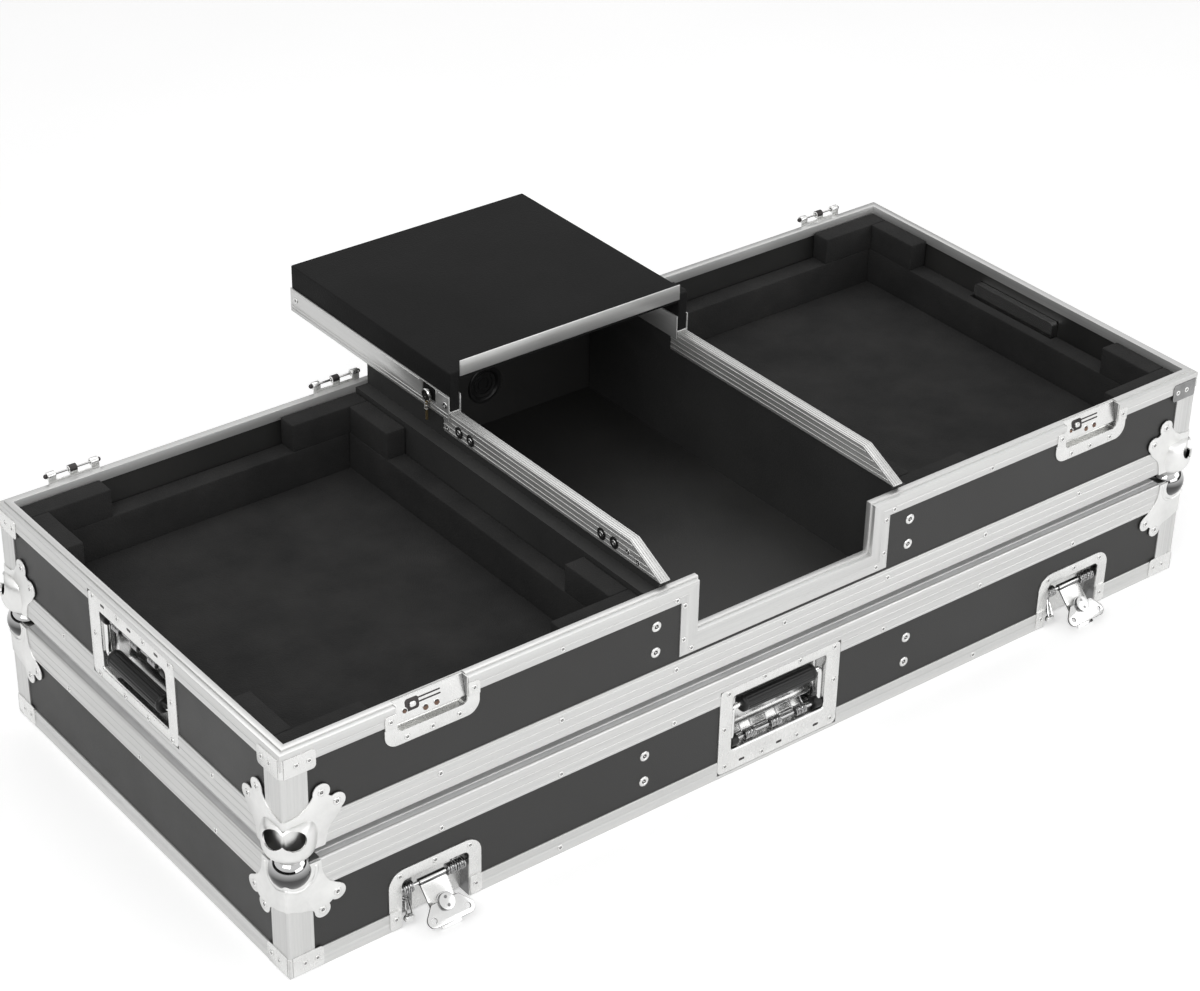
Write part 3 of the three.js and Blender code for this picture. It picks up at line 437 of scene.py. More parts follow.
def remarked(shell, mark, test):
    """Gives a finish number to the faces whose middle and normal, taken without its signs, pass a test."""
    for k, face in enumerate(shell.faces):
        corners = shell.points[list(face)]
        normal = np.cross(corners, np.roll(corners, -1, 0)).sum(0)
        normal /= max(np.linalg.norm(normal), 1e-12)
        if test(corners.mean(0), np.abs(normal)):
            shell.marks[k] = mark
    return shell


def marked(shell, mark=1):
    """The same shell with one finish number on all its faces."""
    shell.marks = [mark] * len(shell.faces)
    return shell


ONTO_FRONT = Matrix(((1, 0, 0, 0), (0, 0, -1, 0), (0, 1, 0, 0), (0, 0, 0, 1)))
ONTO_SIDE = Matrix(((0, 1, 0, 0), (1, 0, 0, 0), (0, 0, 1, 0), (0, 0, 0, 1)))
UPSIDE_DOWN = Matrix.Scale(-1, 4, (0, 0, 1))
print("a shape drawn in X and Y stands up as X and Z, with its height towards the front")

# %% [markdown]
# A solid becomes a Blender object here. Some shapes need a tool first: a boolean where a fitting is
# let into an extrusion, and a bevel where a sharp corner must catch the light. The modifiers are
# applied at once, so what is kept is plain mesh. `build` then moves it from millimetres round the
# case's middle to metres in the frame, and makes it ride on its body.
# %% From shells to pieces
def mesh_of(shells, name="tool"):
    mesh = bpy.data.meshes.new(name)
    points, faces, marks = [], [], []
    for shell in shells:
        faces += [tuple(v + len(points) for v in face) for face in shell.faces]
        marks += shell.marks
        points += [tuple(p) for p in shell.points]
    mesh.from_pydata(points, [], faces)
    mesh.polygons.foreach_set("material_index", marks)
    outward(mesh)
    return mesh


def outward(mesh):
    work = bmesh.new()
    work.from_mesh(mesh)
    bmesh.ops.recalc_face_normals(work, faces=work.faces)
    work.to_mesh(mesh)
    work.free()


def object_of(mesh, finishes=()):
    item = bpy.data.objects.new(mesh.name, mesh)
    bpy.context.scene.collection.objects.link(item)
    for finish in finishes:
        mesh.materials.append(finish)
    return item


def settled(item):
    """The object's mesh with its modifiers applied."""
    bpy.context.view_layer.update()
    seen = item.evaluated_get(bpy.context.evaluated_depsgraph_get())
    mesh = bpy.data.meshes.new_from_object(seen)
    item.modifiers.clear()
    return mesh


def worked(shells, cutters=(), bevel=0.0, segments=2, angle=35):
    """Shells after cuts and a bevel, as one shell."""
    item = object_of(mesh_of(shells))
    for _ in range(max((m for shell in shells for m in shell.marks), default=0) + 1):
        item.data.materials.append(LINING)
    tools = []
    for cutter in cutters:
        tool = object_of(mesh_of([cutter]))
        tools.append(tool)
        cut = item.modifiers.new("cut", "BOOLEAN")
        cut.object = tool
        cut.solver = "EXACT"
        cut.use_self = len(shells) > 1
    if bevel:
        soft = item.modifiers.new("soft", "BEVEL")
        soft.width = bevel
        soft.segments = segments
        soft.limit_method = "ANGLE"
        soft.angle_limit = math.radians(angle)
        soft.harden_normals = False
    mesh = settled(item)
    points = np.array([v.co for v in mesh.vertices])
    result = Shell(points, [tuple(p.vertices) for p in mesh.polygons],
                   [p.material_index for p in mesh.polygons])
    for old in [item, *tools]:
        bpy.data.objects.remove(old)
    return result


def build(name, shells, finishes, body, replaces=(), sharp=32):
    mesh = mesh_of(shells, name)
    mesh.transform(Matrix.Scale(MM, 4) @ slide(0, MIDDLE_Y, 0))
    mesh.polygons.foreach_set("use_smooth", [True] * len(mesh.polygons))
    mesh.set_sharp_from_angle(angle=math.radians(sharp))
    piece = object_of(mesh, finishes if isinstance(finishes, (list, tuple)) else [finishes])
    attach(piece, body)
    if replaces:
        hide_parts(*replaces)
    print(f"{name}: {len(mesh.polygons)} faces on {body}")
    return piece


# %% [markdown]
# Some solids already have the right shape and only need the small radius that every real edge has.
# `softened` takes a copy of a solid's mesh, welds its loose triangles, drops the flat ones' inner
# edges and bevels what is left, so the copy can stand for the solid. A piece cut from sheet can be
# `edged`: its cut edges get the second, darker finish, a painted dark outline of shade.
# %% Softened copies of solids
def softened(node, finishes, body, width=0.5, segments=2, edged=False, sharp=32):
    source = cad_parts[node]
    work = bmesh.new()
    work.from_mesh(source.data)
    bmesh.ops.remove_doubles(work, verts=work.verts, dist=1e-6)
    flats = math.radians(1.0)
    bmesh.ops.dissolve_limit(work, angle_limit=flats, verts=work.verts, edges=work.edges)
    mesh = bpy.data.meshes.new(node + "_soft")
    work.to_mesh(mesh)
    work.free()
    mesh.materials.clear()
    piece = object_of(mesh, finishes)
    soft = piece.modifiers.new("soft", "BEVEL")
    soft.width = width * MM
    soft.segments = segments
    soft.limit_method = "ANGLE"
    soft.angle_limit = math.radians(35)
    made = settled(piece)
    made.name = node + "_soft"
    piece.data = made
    # Cut edges take the darker second finish: a painted shaded outline.
    if edged:
        broad = max(made.polygons, key=lambda p: p.area).normal.copy()
        made.polygons.foreach_set("material_index",
                                  [int(abs(p.normal.dot(broad)) < 0.96) for p in made.polygons])
    made.polygons.foreach_set("use_smooth", [True] * len(made.polygons))
    made.set_sharp_from_angle(angle=math.radians(sharp))
    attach(piece, body)
    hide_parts(node)
    return piece


print("softened() keeps a solid's place, since it only copies its mesh")

# %% [markdown]
# ## Extrusions
# Each half of the case is edged with aluminium angle. A section is carried round the four sides and
# mitred at the corners. The section below has the details that catch the light: the rounded outer
# corner, shallow lines on the face and a raised bead on the flange.
# %% A section carried round the case
def arc(cx, cy, radius, start, end, steps=4):
    angles = np.radians(np.linspace(start, end, steps + 1))
    return [(cx + radius * math.cos(a), cy + radius * math.sin(a)) for a in angles]


def carried(stations, section):
    """A closed run of straight lengths. Each section point is (in, up, share of the leg)."""
    rings = [[at + inward * i + rise * u + leg * s for i, u, s in section]
             for at, inward, rise, leg in stations]
    marks = []
    for k, (at, *_) in enumerate(stations):
        run = np.abs(stations[(k + 1) % len(stations)][0] - at)
        marks.append(int(np.argmax(run)))
    return skinned(rings, closed=True, marks=marks)


def flange_marked(shell, section):
    """Marks the flat of an edge section, from its rounded corner to its inner end."""
    size = len(section)
    for k in range(size):
        (a, u, _), (b, v, _) = section[k], section[(k + 1) % size]
        if min(a, b) > CORNER_ROUND - 0.01 and min(u, v) > -0.1:
            for station in range(4):
                shell.marks[station * size + k] = 3
    return shell


def case_corners(height, way, face):
    return [(np.array([sx * HALF_WIDTH, sy * HALF_DEPTH, height]), np.array([-sx, -sy, 0.0]),
             np.array([0.0, 0.0, way]), np.array([0.0, 0.0, -way * face]))
            for sx, sy in [(-1, -1), (1, -1), (1, 1), (-1, 1)]]


EDGE_FACE = 32.5
SKIN = 1.5
CORNER_ROUND = 3.0


def faced(shares, depth=0.22, width=0.018):
    """Shallow grooves across the face of a leg, at shares of its length."""
    points = []
    for share in shares:
        points += [(0, 0, share + width), (depth, 0, share + width / 2), (depth, 0, share - width / 2),
                   (0, 0, share - width)]
    return points


def edge_section():
    corner = [(x, y, 0) for x, y in arc(CORNER_ROUND, -CORNER_ROUND, CORNER_ROUND, 180, 90)]
    bead = [(9.0, -0.0, 0), (9.6, 0.7, 0), (11.2, 0.7, 0), (11.8, 0, 0)]
    under = [(EDGE_FACE, 0, 0), (EDGE_FACE, -SKIN, 0), (SKIN, -SKIN, 0), (SKIN, 0, 1), (0.5, 0, 1)]
    return under + [(0, 0, 0.985)] + faced([0.9, 0.62, 0.34]) + corner + bead


POST_FACE = 28.0


def post(sx, sy, low, high):
    """An angle post: a rounded corner with fine flutes on both faces."""
    flutes = np.arange(6.0, POST_FACE - 2, 3.6)

    def face():
        line = [(POST_FACE, SKIN), (POST_FACE, 0.3), (POST_FACE - 0.3, 0)]
        for spot in flutes[::-1]:
            line += [(spot + 0.5, 0), (spot, 0.14), (spot - 0.5, 0)]
        return line

    outer = face()
    corner = arc(CORNER_ROUND, CORNER_ROUND, CORNER_ROUND, 270, 180)
    section = outer + corner + [(y, x) for x, y in outer[::-1]] + [(SKIN, SKIN)]
    rings = [[(sx * (HALF_WIDTH - x), sy * (HALF_DEPTH - y), z) for x, y in section] for z in (low, high)]
    return marked(skinned(rings), 2)


CORNERS = [("front_left", -1, -1), ("front_right", 1, -1), ("rear_right", 1, 1), ("rear_left", -1, 1)]
SIDES = ((-1, "left"), (1, "right"))
CLEAR = 0.3
LID_RIM_FACE = 22.0
BASE_RIM_FACE = 20.0
HANDLE_HALF = 80.3
OUT = 30.0
print("edge section:", len(edge_section()), "points, with a face of", EDGE_FACE, "mm")

# %% [markdown]
# The handle dishes and latches are let into the extrusions, as on the real case, so a boolean takes
# their outlines out of the legs. The cutters are plain boxes that start outside the case.
# %% The lid's edge and rim
LID_DISH = (4.7, 108.3)
LATCH_X = 426.5
LATCH_CUT = 39.9
LATCH_CUT_DEPTH, LATCH_CUT_TOP = 17.5, 28


def edge_of(height, way, cuts):
    """One half's edge extrusion: its corners carried round the case, with the flange marked."""
    section = edge_section()
    return worked([flange_marked(carried(case_corners(height, way, EDGE_FACE), section), section)], cuts)


lid_dish_cut = box_shell((-HANDLE_HALF, -HALF_DEPTH - OUT, LID_DISH[0]),
                         (HANDLE_HALF, -HALF_DEPTH + SKIN + CLEAR, LID_DISH[1]))
lid_edge = edge_of(LID_TOP, 1, [lid_dish_cut])
lid_posts = [post(sx, sy, LID_RIM_FACE + CLEAR, LID_TOP - SKIN) for _, sx, sy in CORNERS]
build("lid_edge_extrusion", [lid_edge, *lid_posts], EDGING, "lid", ["lid_edge_frame"])


def lid_rim_section():
    lip = arc(1.2, -1.2, 1.2, 180, 90, 2)
    return ([(SKIN, 0, 1), (0.4, 0, 1), (0, 0, 0.98)] + faced([0.55], 0.2, 0.03) + [(x, y, 0) for x, y in lip]
            + [(4.2, 0, 0), (4.6, -0.4, 0), (4.6, -2.3, 0), (11.4, -2.3, 0), (12, -2.9, 0), (12, -12, 0),
               (10.5, -12, 0), (10.5, -3.8, 0), (SKIN, -3.8, 0)])


latch_cuts = [box_shell((x - LATCH_CUT, -HALF_DEPTH - OUT, -OUT),
                        (x + LATCH_CUT, -HALF_DEPTH + LATCH_CUT_DEPTH, LATCH_CUT_TOP))
              for x in (-LATCH_X, LATCH_X)]
lid_rim = worked([carried(case_corners(0, -1, LID_RIM_FACE), lid_rim_section())], [lid_dish_cut, *latch_cuts])
build("lid_rim_extrusion", [lid_rim], ALUMINIUM, "lid", ["lid_rim_frame"])

# %% [markdown]
# The rim of the base is the same idea with one difference: on the front it steps down the sides of
# the mixer notch and along its sill. Four more stations at the notch's corners do that, and their
# legs lean so that every mitre meets.
# %% The base's edge and rim
NOTCH_HALF = 112.0
NOTCH_DEPTH = 59.0
NOTCH_FACE = 24.0
KEEPER_X = 427.0
KEEPER_CUT = 39.9
KEEPER_CUT_DEPTH, KEEPER_CUT_DROP = 10.3, 26
BASE_DISH = (154.7, 250.3)
side_cuts = [box_shell((side * (HALF_WIDTH - SKIN - CLEAR), -HANDLE_HALF, BASE_DISH[0]),
                       (side * (HALF_WIDTH + OUT), HANDLE_HALF, BASE_DISH[1])) for side in (-1, 1)]

base_edge = edge_of(BASE_FOOT, -1, side_cuts)
base_posts = [post(sx, sy, BASE_FOOT + SKIN, BASE_TOP - BASE_RIM_FACE - CLEAR) for _, sx, sy in CORNERS]
build("base_edge_extrusion", [base_edge, *base_posts], EDGING, "base", ["base_edge_frame"])


def base_rim_section():
    outer = arc(1.2, -3.2, 1.2, 180, 90, 2)
    tongue = arc(6.0, -1.0, 1.0, 180, 90, 2) + arc(11.0, -1.0, 1.0, 90, 0, 2)
    return ([(SKIN, 0, 1), (0.4, 0, 1), (0, 0, 0.98)] + faced([0.6], 0.2, 0.03)
            + [(x, y, 0) for x, y in outer] + [(5, -2, 0)] + [(x, y, 0) for x, y in tongue]
            + [(12, -12, 0), (10.5, -12, 0), (10.5, -3.5, 0), (SKIN, -3.5, 0)])


front_left, *others = case_corners(BASE_TOP, 1, BASE_RIM_FACE)
notch = []
for sx, low in [(-1, 0), (-1, 1), (1, 1), (1, 0)]:
    notch.append((np.array([sx * NOTCH_HALF, -HALF_DEPTH, BASE_TOP - low * NOTCH_DEPTH]),
                  np.array([0.0, 1.0, 0.0]),
                  np.array([-sx, 0.0, 1.0]),
                  np.array([sx * NOTCH_FACE, 0.0, -NOTCH_FACE if low else -BASE_RIM_FACE])))
keeper_cuts = [box_shell((x - KEEPER_CUT, -HALF_DEPTH - OUT, BASE_TOP - KEEPER_CUT_DROP),
                         (x + KEEPER_CUT, -HALF_DEPTH + KEEPER_CUT_DEPTH, BASE_TOP + OUT))
               for x in (-KEEPER_X, KEEPER_X)]
base_rim = worked([carried([front_left, *notch, *others], base_rim_section())], [*side_cuts, *keeper_cuts])
build("base_rim_extrusion", [base_rim], ALUMINIUM, "base", ["base_rim_frame"])

# %% [markdown]
# The boards already have their true shape in the frame, so they only get a finish. The outer boards
# wear the pebbled laminate, while the partitions beside the mixer are lined in black.
# %% Boards
for name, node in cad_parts.items():
    if name.endswith("_panel") or name.startswith("partition"):
        node.data.materials.clear()
        node.data.materials.append(LINING if name.startswith("partition") else LAMINATE)
print("boards finished:", sum(name.endswith("_panel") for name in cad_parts))

# %% [markdown]
# ## Corner fittings
# A ball corner guards each corner of the lid. Its plate has two lobes with a rivet in each, folds
# round the post, and swells into a ball that locates the other half when they are stacked. One is
# drawn with the case's corner at the origin, then turned a quarter for each next corner. The lobed
# outline is measured off the photograph, point by point, with arcs for the lobes.
# %% A lobed plate
PLATE = 1.2
STACK_LOBES = [(41.0, 60.0), (57.0, 43.4)]
BALL_LOBES = [(37.4, 58.5), (54.2, 45.0)]


def stack_outline():
    """Up from the foot: the outer side, the low lobe, the high lobe, and the curve to the post."""
    (hx, hz), (lx, lz) = STACK_LOBES
    low, high = arc(lx, lz, 9.3, -55, 120, 12), arc(hx, hz, 9.3, -38, 188, 14)
    side = [(2.4, 0.4), (43.0, 0.4), (43.9, 3), (44.7, 9), (46.2, 14.5), (48.2, 19), (51.4, 22.8),
            (55.4, 26.2), (59.6, 30.6)]
    return np.array(side + low + [(50.0, 52.8)] + high
                    + [(29.2, 54.6), (25.0, 49.8), (17, 45.2), (9, 43.8), (2.4, 43.6)])


def ball_outline():
    (hx, hz), (lx, lz) = BALL_LOBES
    low, high = arc(lx, lz, 8.9, -52, 130, 12), arc(hx, hz, 8.6, -30, 182, 14)
    side = [(2.4, 0.4), (37.6, 0.4), (38.2, 3), (38.4, 9), (39.6, 16), (42.4, 22.5), (46.4, 28.4),
            (52.4, 33.2), (57, 35.9)]
    return np.array(side + low + [(46.4, 53.4)] + high
                    + [(27.4, 55.2), (22.4, 52.8), (15.9, 51.4), (9, 48.4), (2.4, 45.6)])


STACK_OUTLINE, BALL_OUTLINE = stack_outline(), ball_outline()


def folded_plates(outline, rise):
    """The plate on the front face, its twin on the side face, and the bend that joins them."""
    front = moved(plate(outline, 0, PLATE, 0.4), ONTO_FRONT)
    outer = arc(3, 3, 3 + PLATE, 180, 270, 6)
    inner = arc(3, 3, 2.6, 270, 180, 6)
    bend = skinned([[(x, y, z) for x, y in outer + inner] for z in (0.4, rise)])
    return [front, moved(front, ONTO_SIDE), bend]


print("plate outlines:", len(STACK_OUTLINE), len(BALL_OUTLINE), "points")

# %% [markdown]
# The ball stands half out of the corner. Only the part outside the boards exists, so a block the
# size of the case's corner is cut from it. A raised ring on each plate runs round the ball's foot,
# which is what the press leaves when it draws the ball out of the sheet.
# %% Ball corners
BALL_RADIUS = 20.0
BALL_INSET = 13.0
BALL_CENTRE = 7.3


def sphere(radius, centre, steps=56, rows=28):
    profile = [(max(radius * math.sin(a), 0.02), -radius * math.cos(a))
               for a in np.linspace(0.004, math.pi - 0.004, rows)]
    return moved(lathe(profile, steps), slide(*centre))


def ball_corner():
    inside = box_shell((0.2, 0.2, -0.5), (70, 70, 80))
    ball = marked(worked([sphere(BALL_RADIUS, (BALL_INSET, BALL_INSET, BALL_CENTRE))], [inside]))
    around = [(BALL_INSET + 1.2 + 18.8 * math.cos(t), 0.0, BALL_CENTRE + 18.8 * math.sin(t))
              for t in np.radians(np.arange(-14, 129, 8.0))]
    turned = [(x, y, 22.0 - 0.8 * math.sin(2 * t)) for t, (x, y) in
              zip(np.radians(np.linspace(0, 90, 7)), arc(3, 3, 3.0, 262, 188, 6))]
    foot = rod(around + turned + [(y, x, z) for x, y, z in around[::-1]], 2.3, 12, 1.2)
    top = plate(rounded_rectangle((0.6, 0.6), (38, 38), (8, 2, 2, 2), 0), 0, 1.0, 0.4)
    top = moved(worked([top], [box_shell((31.5, 31.5, -5), (60, 60, 5))]), UPSIDE_DOWN)
    return folded_plates(BALL_OUTLINE, 45.6) + [ball, foot, marked(top)]


def corner_places(height, flip):
    places = []
    for quarter, (name, sx, sy) in enumerate(CORNERS):
        steps = [UPSIDE_DOWN] if flip else []
        steps += [spin(90 * quarter), slide(sx * HALF_WIDTH, sy * HALF_DEPTH, height)]
        places.append((name, steps))
    return places


lid_corner = ball_corner()
for name, steps in corner_places(LID_TOP, True):
    build(f"ball_corner_{name}", all_moved(lid_corner, *steps), [PLATE_ZINC, BALL_CHROME], "lid",
          [f"lid_ball_corner_{name}"])

# %% [markdown]
# On the base the fitting swells into a cup that sits over the lid's ball. It is a turned shape, cut
# where the case fills it and dimpled below for the ball. A round window is cut from each face, and
# the two meet at the corner, so the opening looks like a heart from in front of the corner.
# %% Stacking corners
CUP_FOOT, CUP_WAIST, CUP_TOP = -3.3, 17.0, 36.0
CUP_FOOT_RADIUS, CUP_RADIUS, CUP_TOP_RADIUS = 16.0, 26.0, 15.0
CUP_INSET = 14.5
WINDOW = (6.8, 24.4)
WINDOW_RADIUS = 11.4


def bowed(start, pull, stop, count):
    """Points on a curve from start to stop that bows towards a third point."""
    a, b, c = (np.array(point, float) for point in (start, pull, stop))
    return [tuple(a * (1 - t) ** 2 + b * 2 * t * (1 - t) + c * t * t) for t in np.linspace(0.1, 1, count)]


def cup_profile():
    foot, waist, top = (CUP_FOOT_RADIUS, CUP_FOOT), (CUP_RADIUS, CUP_WAIST), (CUP_TOP_RADIUS, CUP_TOP)
    return ([(0.05, CUP_FOOT), foot] + bowed(foot, (CUP_RADIUS, CUP_FOOT), waist, 8)
            + bowed(waist, (CUP_RADIUS, CUP_TOP), top, 9) + [(0.05, CUP_TOP)])


def stack_corner():
    cup = moved(lathe(cup_profile(), 56), slide(CUP_INSET, CUP_INSET, 0))
    front = moved(lathe([(WINDOW_RADIUS, -5), (WINDOW_RADIUS, 30)], 40), ONTO_FRONT,
                  Matrix.Scale(0.86, 4, (0, 0, 1)), slide(WINDOW[0], -PLATE, WINDOW[1]))
    under = (BALL_INSET, BALL_INSET, LID_TOP - BALL_CENTRE - BASE_FOOT)
    dimple = sphere(BALL_RADIUS + 0.4, under)
    inner = moved(lathe(cup_profile(), 52), Matrix.Scale(0.93, 4), slide(CUP_INSET, CUP_INSET, 1.1))
    hollow = worked([inner], [sphere(BALL_RADIUS + 2.0, under)])
    cup = worked([cup], [box_shell((-PLATE + 0.1, -PLATE + 0.1, -0.5), (70, 70, 80)), dimple, hollow, front,
                         moved(front, ONTO_SIDE)], bevel=0.5, angle=50)
    radii, heights = zip(*cup_profile())
    # Faces inside the cup take the darker second finish: painted shade in its hollow.
    remarked(cup, 1, lambda at, way: at[2] > -0.7 and math.hypot(at[0] - CUP_INSET, at[1] - CUP_INSET)
             < np.interp(at[2], heights, radii) - 1.0)
    return folded_plates(STACK_OUTLINE, 43.6) + [cup]


base_corner = stack_corner()
for name, steps in corner_places(BASE_FOOT, False):
    build(f"stack_corner_{name}", all_moved(base_corner, *steps), [PLATE_ZINC, CHROME_PAINTED_SHADE], "base",
          [f"base_stack_corner_{name}"])

# %% [markdown]
# At the open edge of each half, small braces tie the rim to the post: a flap on each face with two
# rivets, and a seam at the corner where the flaps don't quite meet. One of them, at the front right
# of the base, takes the darker chrome: a painted dark reflection.
# %% Corner braces
BRACE_REACH = 37.0


def brace(low, high):
    """A flap on the front face of the front left corner, and its twin on the side face."""
    outline = rounded_rectangle((3.4, low), (BRACE_REACH, high), (4.0, 0.6, 0.6, 4.0), 0)
    flap = moved(plate(outline, 0, 1.0, 0.35), ONTO_FRONT)
    seam = skinned([[(x, y, z) for x, y in arc(3, 3, 3.25, 180, 270, 5) + arc(3, 3, 2.6, 270, 180, 5)]
                    for z in (low + 0.5, high - 0.5)])
    return [flap, moved(flap, ONTO_SIDE), seam]


for body, low, high in [("base", 229.0, 250.0), ("lid", 1.5, 24.5)]:
    shells = []
    for quarter, (name, sx, sy) in enumerate(CORNERS):
        made = [moved(s, spin(90 * quarter), slide(sx * HALF_WIDTH, sy * HALF_DEPTH, 0))
                for s in brace(low, high)]
        # The front right brace on the base takes the darker chrome: a painted dark reflection.
        if (body, name) == ("base", "front_right"):
            made = [marked(shell) for shell in made]
        shells += made
    build(f"{body}_corner_braces", shells, [ZINC, CHROME_PAINTED_SHADE], body)

# %% [markdown]
# ## Handles
# A spring handle is a shallow steel dish with a bail that folds into it. The sheet turns into the
# pocket over a soft radius, which a chain of rounded rectangles gives: over the flange, round the
# lip, down the wall, into the floor, and back up behind the sheet.
# %% A pressed dish
POCKET_DEPTH = 19.0
BAIL_REACH = 42.0


def pressed_dish(flange, corner, pocket, depth, lip=2.5, floor=4.0, sheet=1.2, flange_sheet=1.5):
    """Rings drawn in X and Y, with the depth along -Z. flange and pocket are (low, high) corners."""
    def at(box, grow, height, radius):
        (x0, y0), (x1, y1) = box
        return rounded_rectangle((x0 - grow, y0 - grow), (x1 + grow, y1 + grow), radius, height)

    rings = [at(flange, 0, -flange_sheet, corner), at(flange, 0, -0.4, corner),
             at(flange, -0.12, -0.12, corner), at(flange, -0.4, 0, corner)]
    for k in range(5):
        a = math.radians(90 * k / 4)
        rings.append(at(pocket, lip * (1 - math.sin(a)), -lip * (1 - math.cos(a)),
                        3 + lip * (1 - math.sin(a))))
    for k in range(5):
        a = math.radians(90 * k / 4)
        rings.append(at(pocket, -floor * (1 - math.cos(a)), -depth + floor * (1 - math.sin(a)),
                        3 + 1.5 * (k > 0)))
    rings.append(at(pocket, -floor - 6, -depth, 3))
    back = [at(pocket, -floor - 6, -depth - sheet, 3), at(pocket, sheet, -depth - sheet, 4),
            at(pocket, sheet, -flange_sheet, 4)]
    return skinned(rings + back, closed=True), rings[-1], back[0]


def dish_shells(flange, corner, pocket, depth, **sizes):
    body, front, rear = pressed_dish(flange, corner, pocket, depth, **sizes)
    return [body, skinned([rear, front])]


DISH_HALF = (80.0, 47.5)
POCKET_HALF = 62.0
POCKET_LOW, POCKET_HIGH = -30.5, 35.5
PIVOT = (6.5, POCKET_LOW + 6.5)


def handle_dish(foot, slot_height):
    """The pan with its flange down to a foot, a step on its floor, and slots along the flange's foot."""
    flange = ((-DISH_HALF[0], foot), DISH_HALF)
    pocket = ((-POCKET_HALF, POCKET_LOW), (POCKET_HALF, POCKET_HIGH))
    shells = dish_shells(flange, 6.0, pocket, POCKET_DEPTH)
    step = rounded_rectangle((-POCKET_HALF + 5, POCKET_LOW + 14), (POCKET_HALF - 5, POCKET_LOW + 17), 1.4, 0)
    shells.append(plate(step, -POCKET_DEPTH, -POCKET_DEPTH + 3.2, 1.0))
    # Faces deeper than 2 mm, in the pocket, take the third finish, slightly darker and glossier: painted
    # shade.
    for shell in shells:
        remarked(shell, 2, lambda at, way: at[2] < -2.0)
    # The slots are dark plates on the flange: painted shade.
    shells += [slot_mark(x, slot_height) for x in (-48.0, 2.0, 52.0)]
    return all_moved(shells, ONTO_FRONT)


def slot_mark(x, y, length=7.5):
    outline = rounded_rectangle((x - length / 2, y - 1.5), (x + length / 2, y + 1.5), 1.4, 0)
    return marked(plate(outline, -0.3, 0.06, 0.05))


def bail_rod():
    """The chrome part: two arms from the hinge to the grip, about the hinge line."""
    reach = BAIL_REACH
    arm = POCKET_HALF - 3.4
    path = [(POCKET_HALF + 1.0, 0, 0), (arm + 1.0, 0, 0), (arm, 0, 1.5)]
    path += [(arm, 0, z) for z in (8, 20, reach - 6)]
    path += [(arm - 0.8, 0, reach - 2), (arm - 3, 0, reach), (arm - 13, 0, reach)]
    left = [(-x, y, z) for x, y, z in path]
    return [rod(path, 3.1, 14), rod(left, 3.1, 14)]


def grip_shell(half=48.5, radius=9.2, ribs=18):
    """A moulded grip: fine ribs along it, and plain rounded collars at its ends."""
    def circle(x, size, wave):
        points = []
        for k in range(ribs * 6):
            a = k * 2 * math.pi / (ribs * 6)
            r = size * (1 - wave * (0.5 - 0.5 * math.cos(ribs * a)))
            points.append((x, r * math.sin(a), BAIL_REACH + r * math.cos(a)))
        return points

    stops = [(-half, 0.72, 0), (-half + 0.4, 0.9, 0), (-half + 1.4, 1.0, 0), (-half + 4.5, 1.0, 0),
             (-half + 5.2, 0.95, 0.0), (-half + 6.2, 1.0, 0.07)]
    stops += [(-x, size, wave) for x, size, wave in stops[::-1]]
    return skinned([circle(x, radius * size, wave) for x, size, wave in stops])


print("one dish, one bail and one grip serve all three handles")

# %% [markdown]
# Small parts sit in the dish: rubber sleeves on the bail's ends, a steel rod between them and the
# torsion springs on it. The springs are wound by Geometry Nodes, since a coil is a rule: so many
# turns, of a wire so thick, on a radius.
# %% Geometry Nodes: a coil
def new_group(name, inputs):
    group = bpy.data.node_groups.new(name, "GeometryNodeTree")
    group.interface.new_socket("Geometry", in_out="INPUT", socket_type="NodeSocketGeometry")
    for label, kind, default in inputs:
        socket = group.interface.new_socket(label, in_out="INPUT", socket_type=kind)
        if default is not None:
            socket.default_value = default
    group.interface.new_socket("Geometry", in_out="OUTPUT", socket_type="NodeSocketGeometry")
    return group, group.nodes.new("NodeGroupInput"), group.nodes.new("NodeGroupOutput")


def add(group, kind, links=None, **settings):
    """A node with its inputs: each a value, a socket, or a node that stands for its first output."""
    node = group.nodes.new(kind)
    for key, value in settings.items():
        setattr(node, key, value)
    for socket, source in (links or {}).items():
        if hasattr(source, "outputs"):
            source = source.outputs[0]
        if hasattr(source, "is_output"):
            group.links.new(source, node.inputs[socket])
        else:
            node.inputs[socket].default_value = source
    return node


def grown(name, group, settings, points=((0, 0, 0),), attributes=None):
    """Runs a tree on loose points and returns the plain mesh."""
    mesh = bpy.data.meshes.new(name)
    mesh.from_pydata([tuple(p) for p in points], [], [])
    for key, values in (attributes or {}).items():
        kind = "FLOAT_VECTOR" if np.ndim(values) == 2 else "FLOAT"
        layer = mesh.attributes.new(key, kind, "POINT")
        layer.data.foreach_set("vector" if kind == "FLOAT_VECTOR" else "value",
                               np.ravel(values).astype(np.float32))
    item = object_of(mesh)
    modifier = item.modifiers.new("tree", "NODES")
    modifier.node_group = group
    sockets = {s.name: s.identifier for s in group.interface.items_tree if s.in_out == "INPUT"}
    for key, value in settings.items():
        modifier[sockets[key]] = value
    made = settled(item)
    bpy.data.objects.remove(item)
    return made


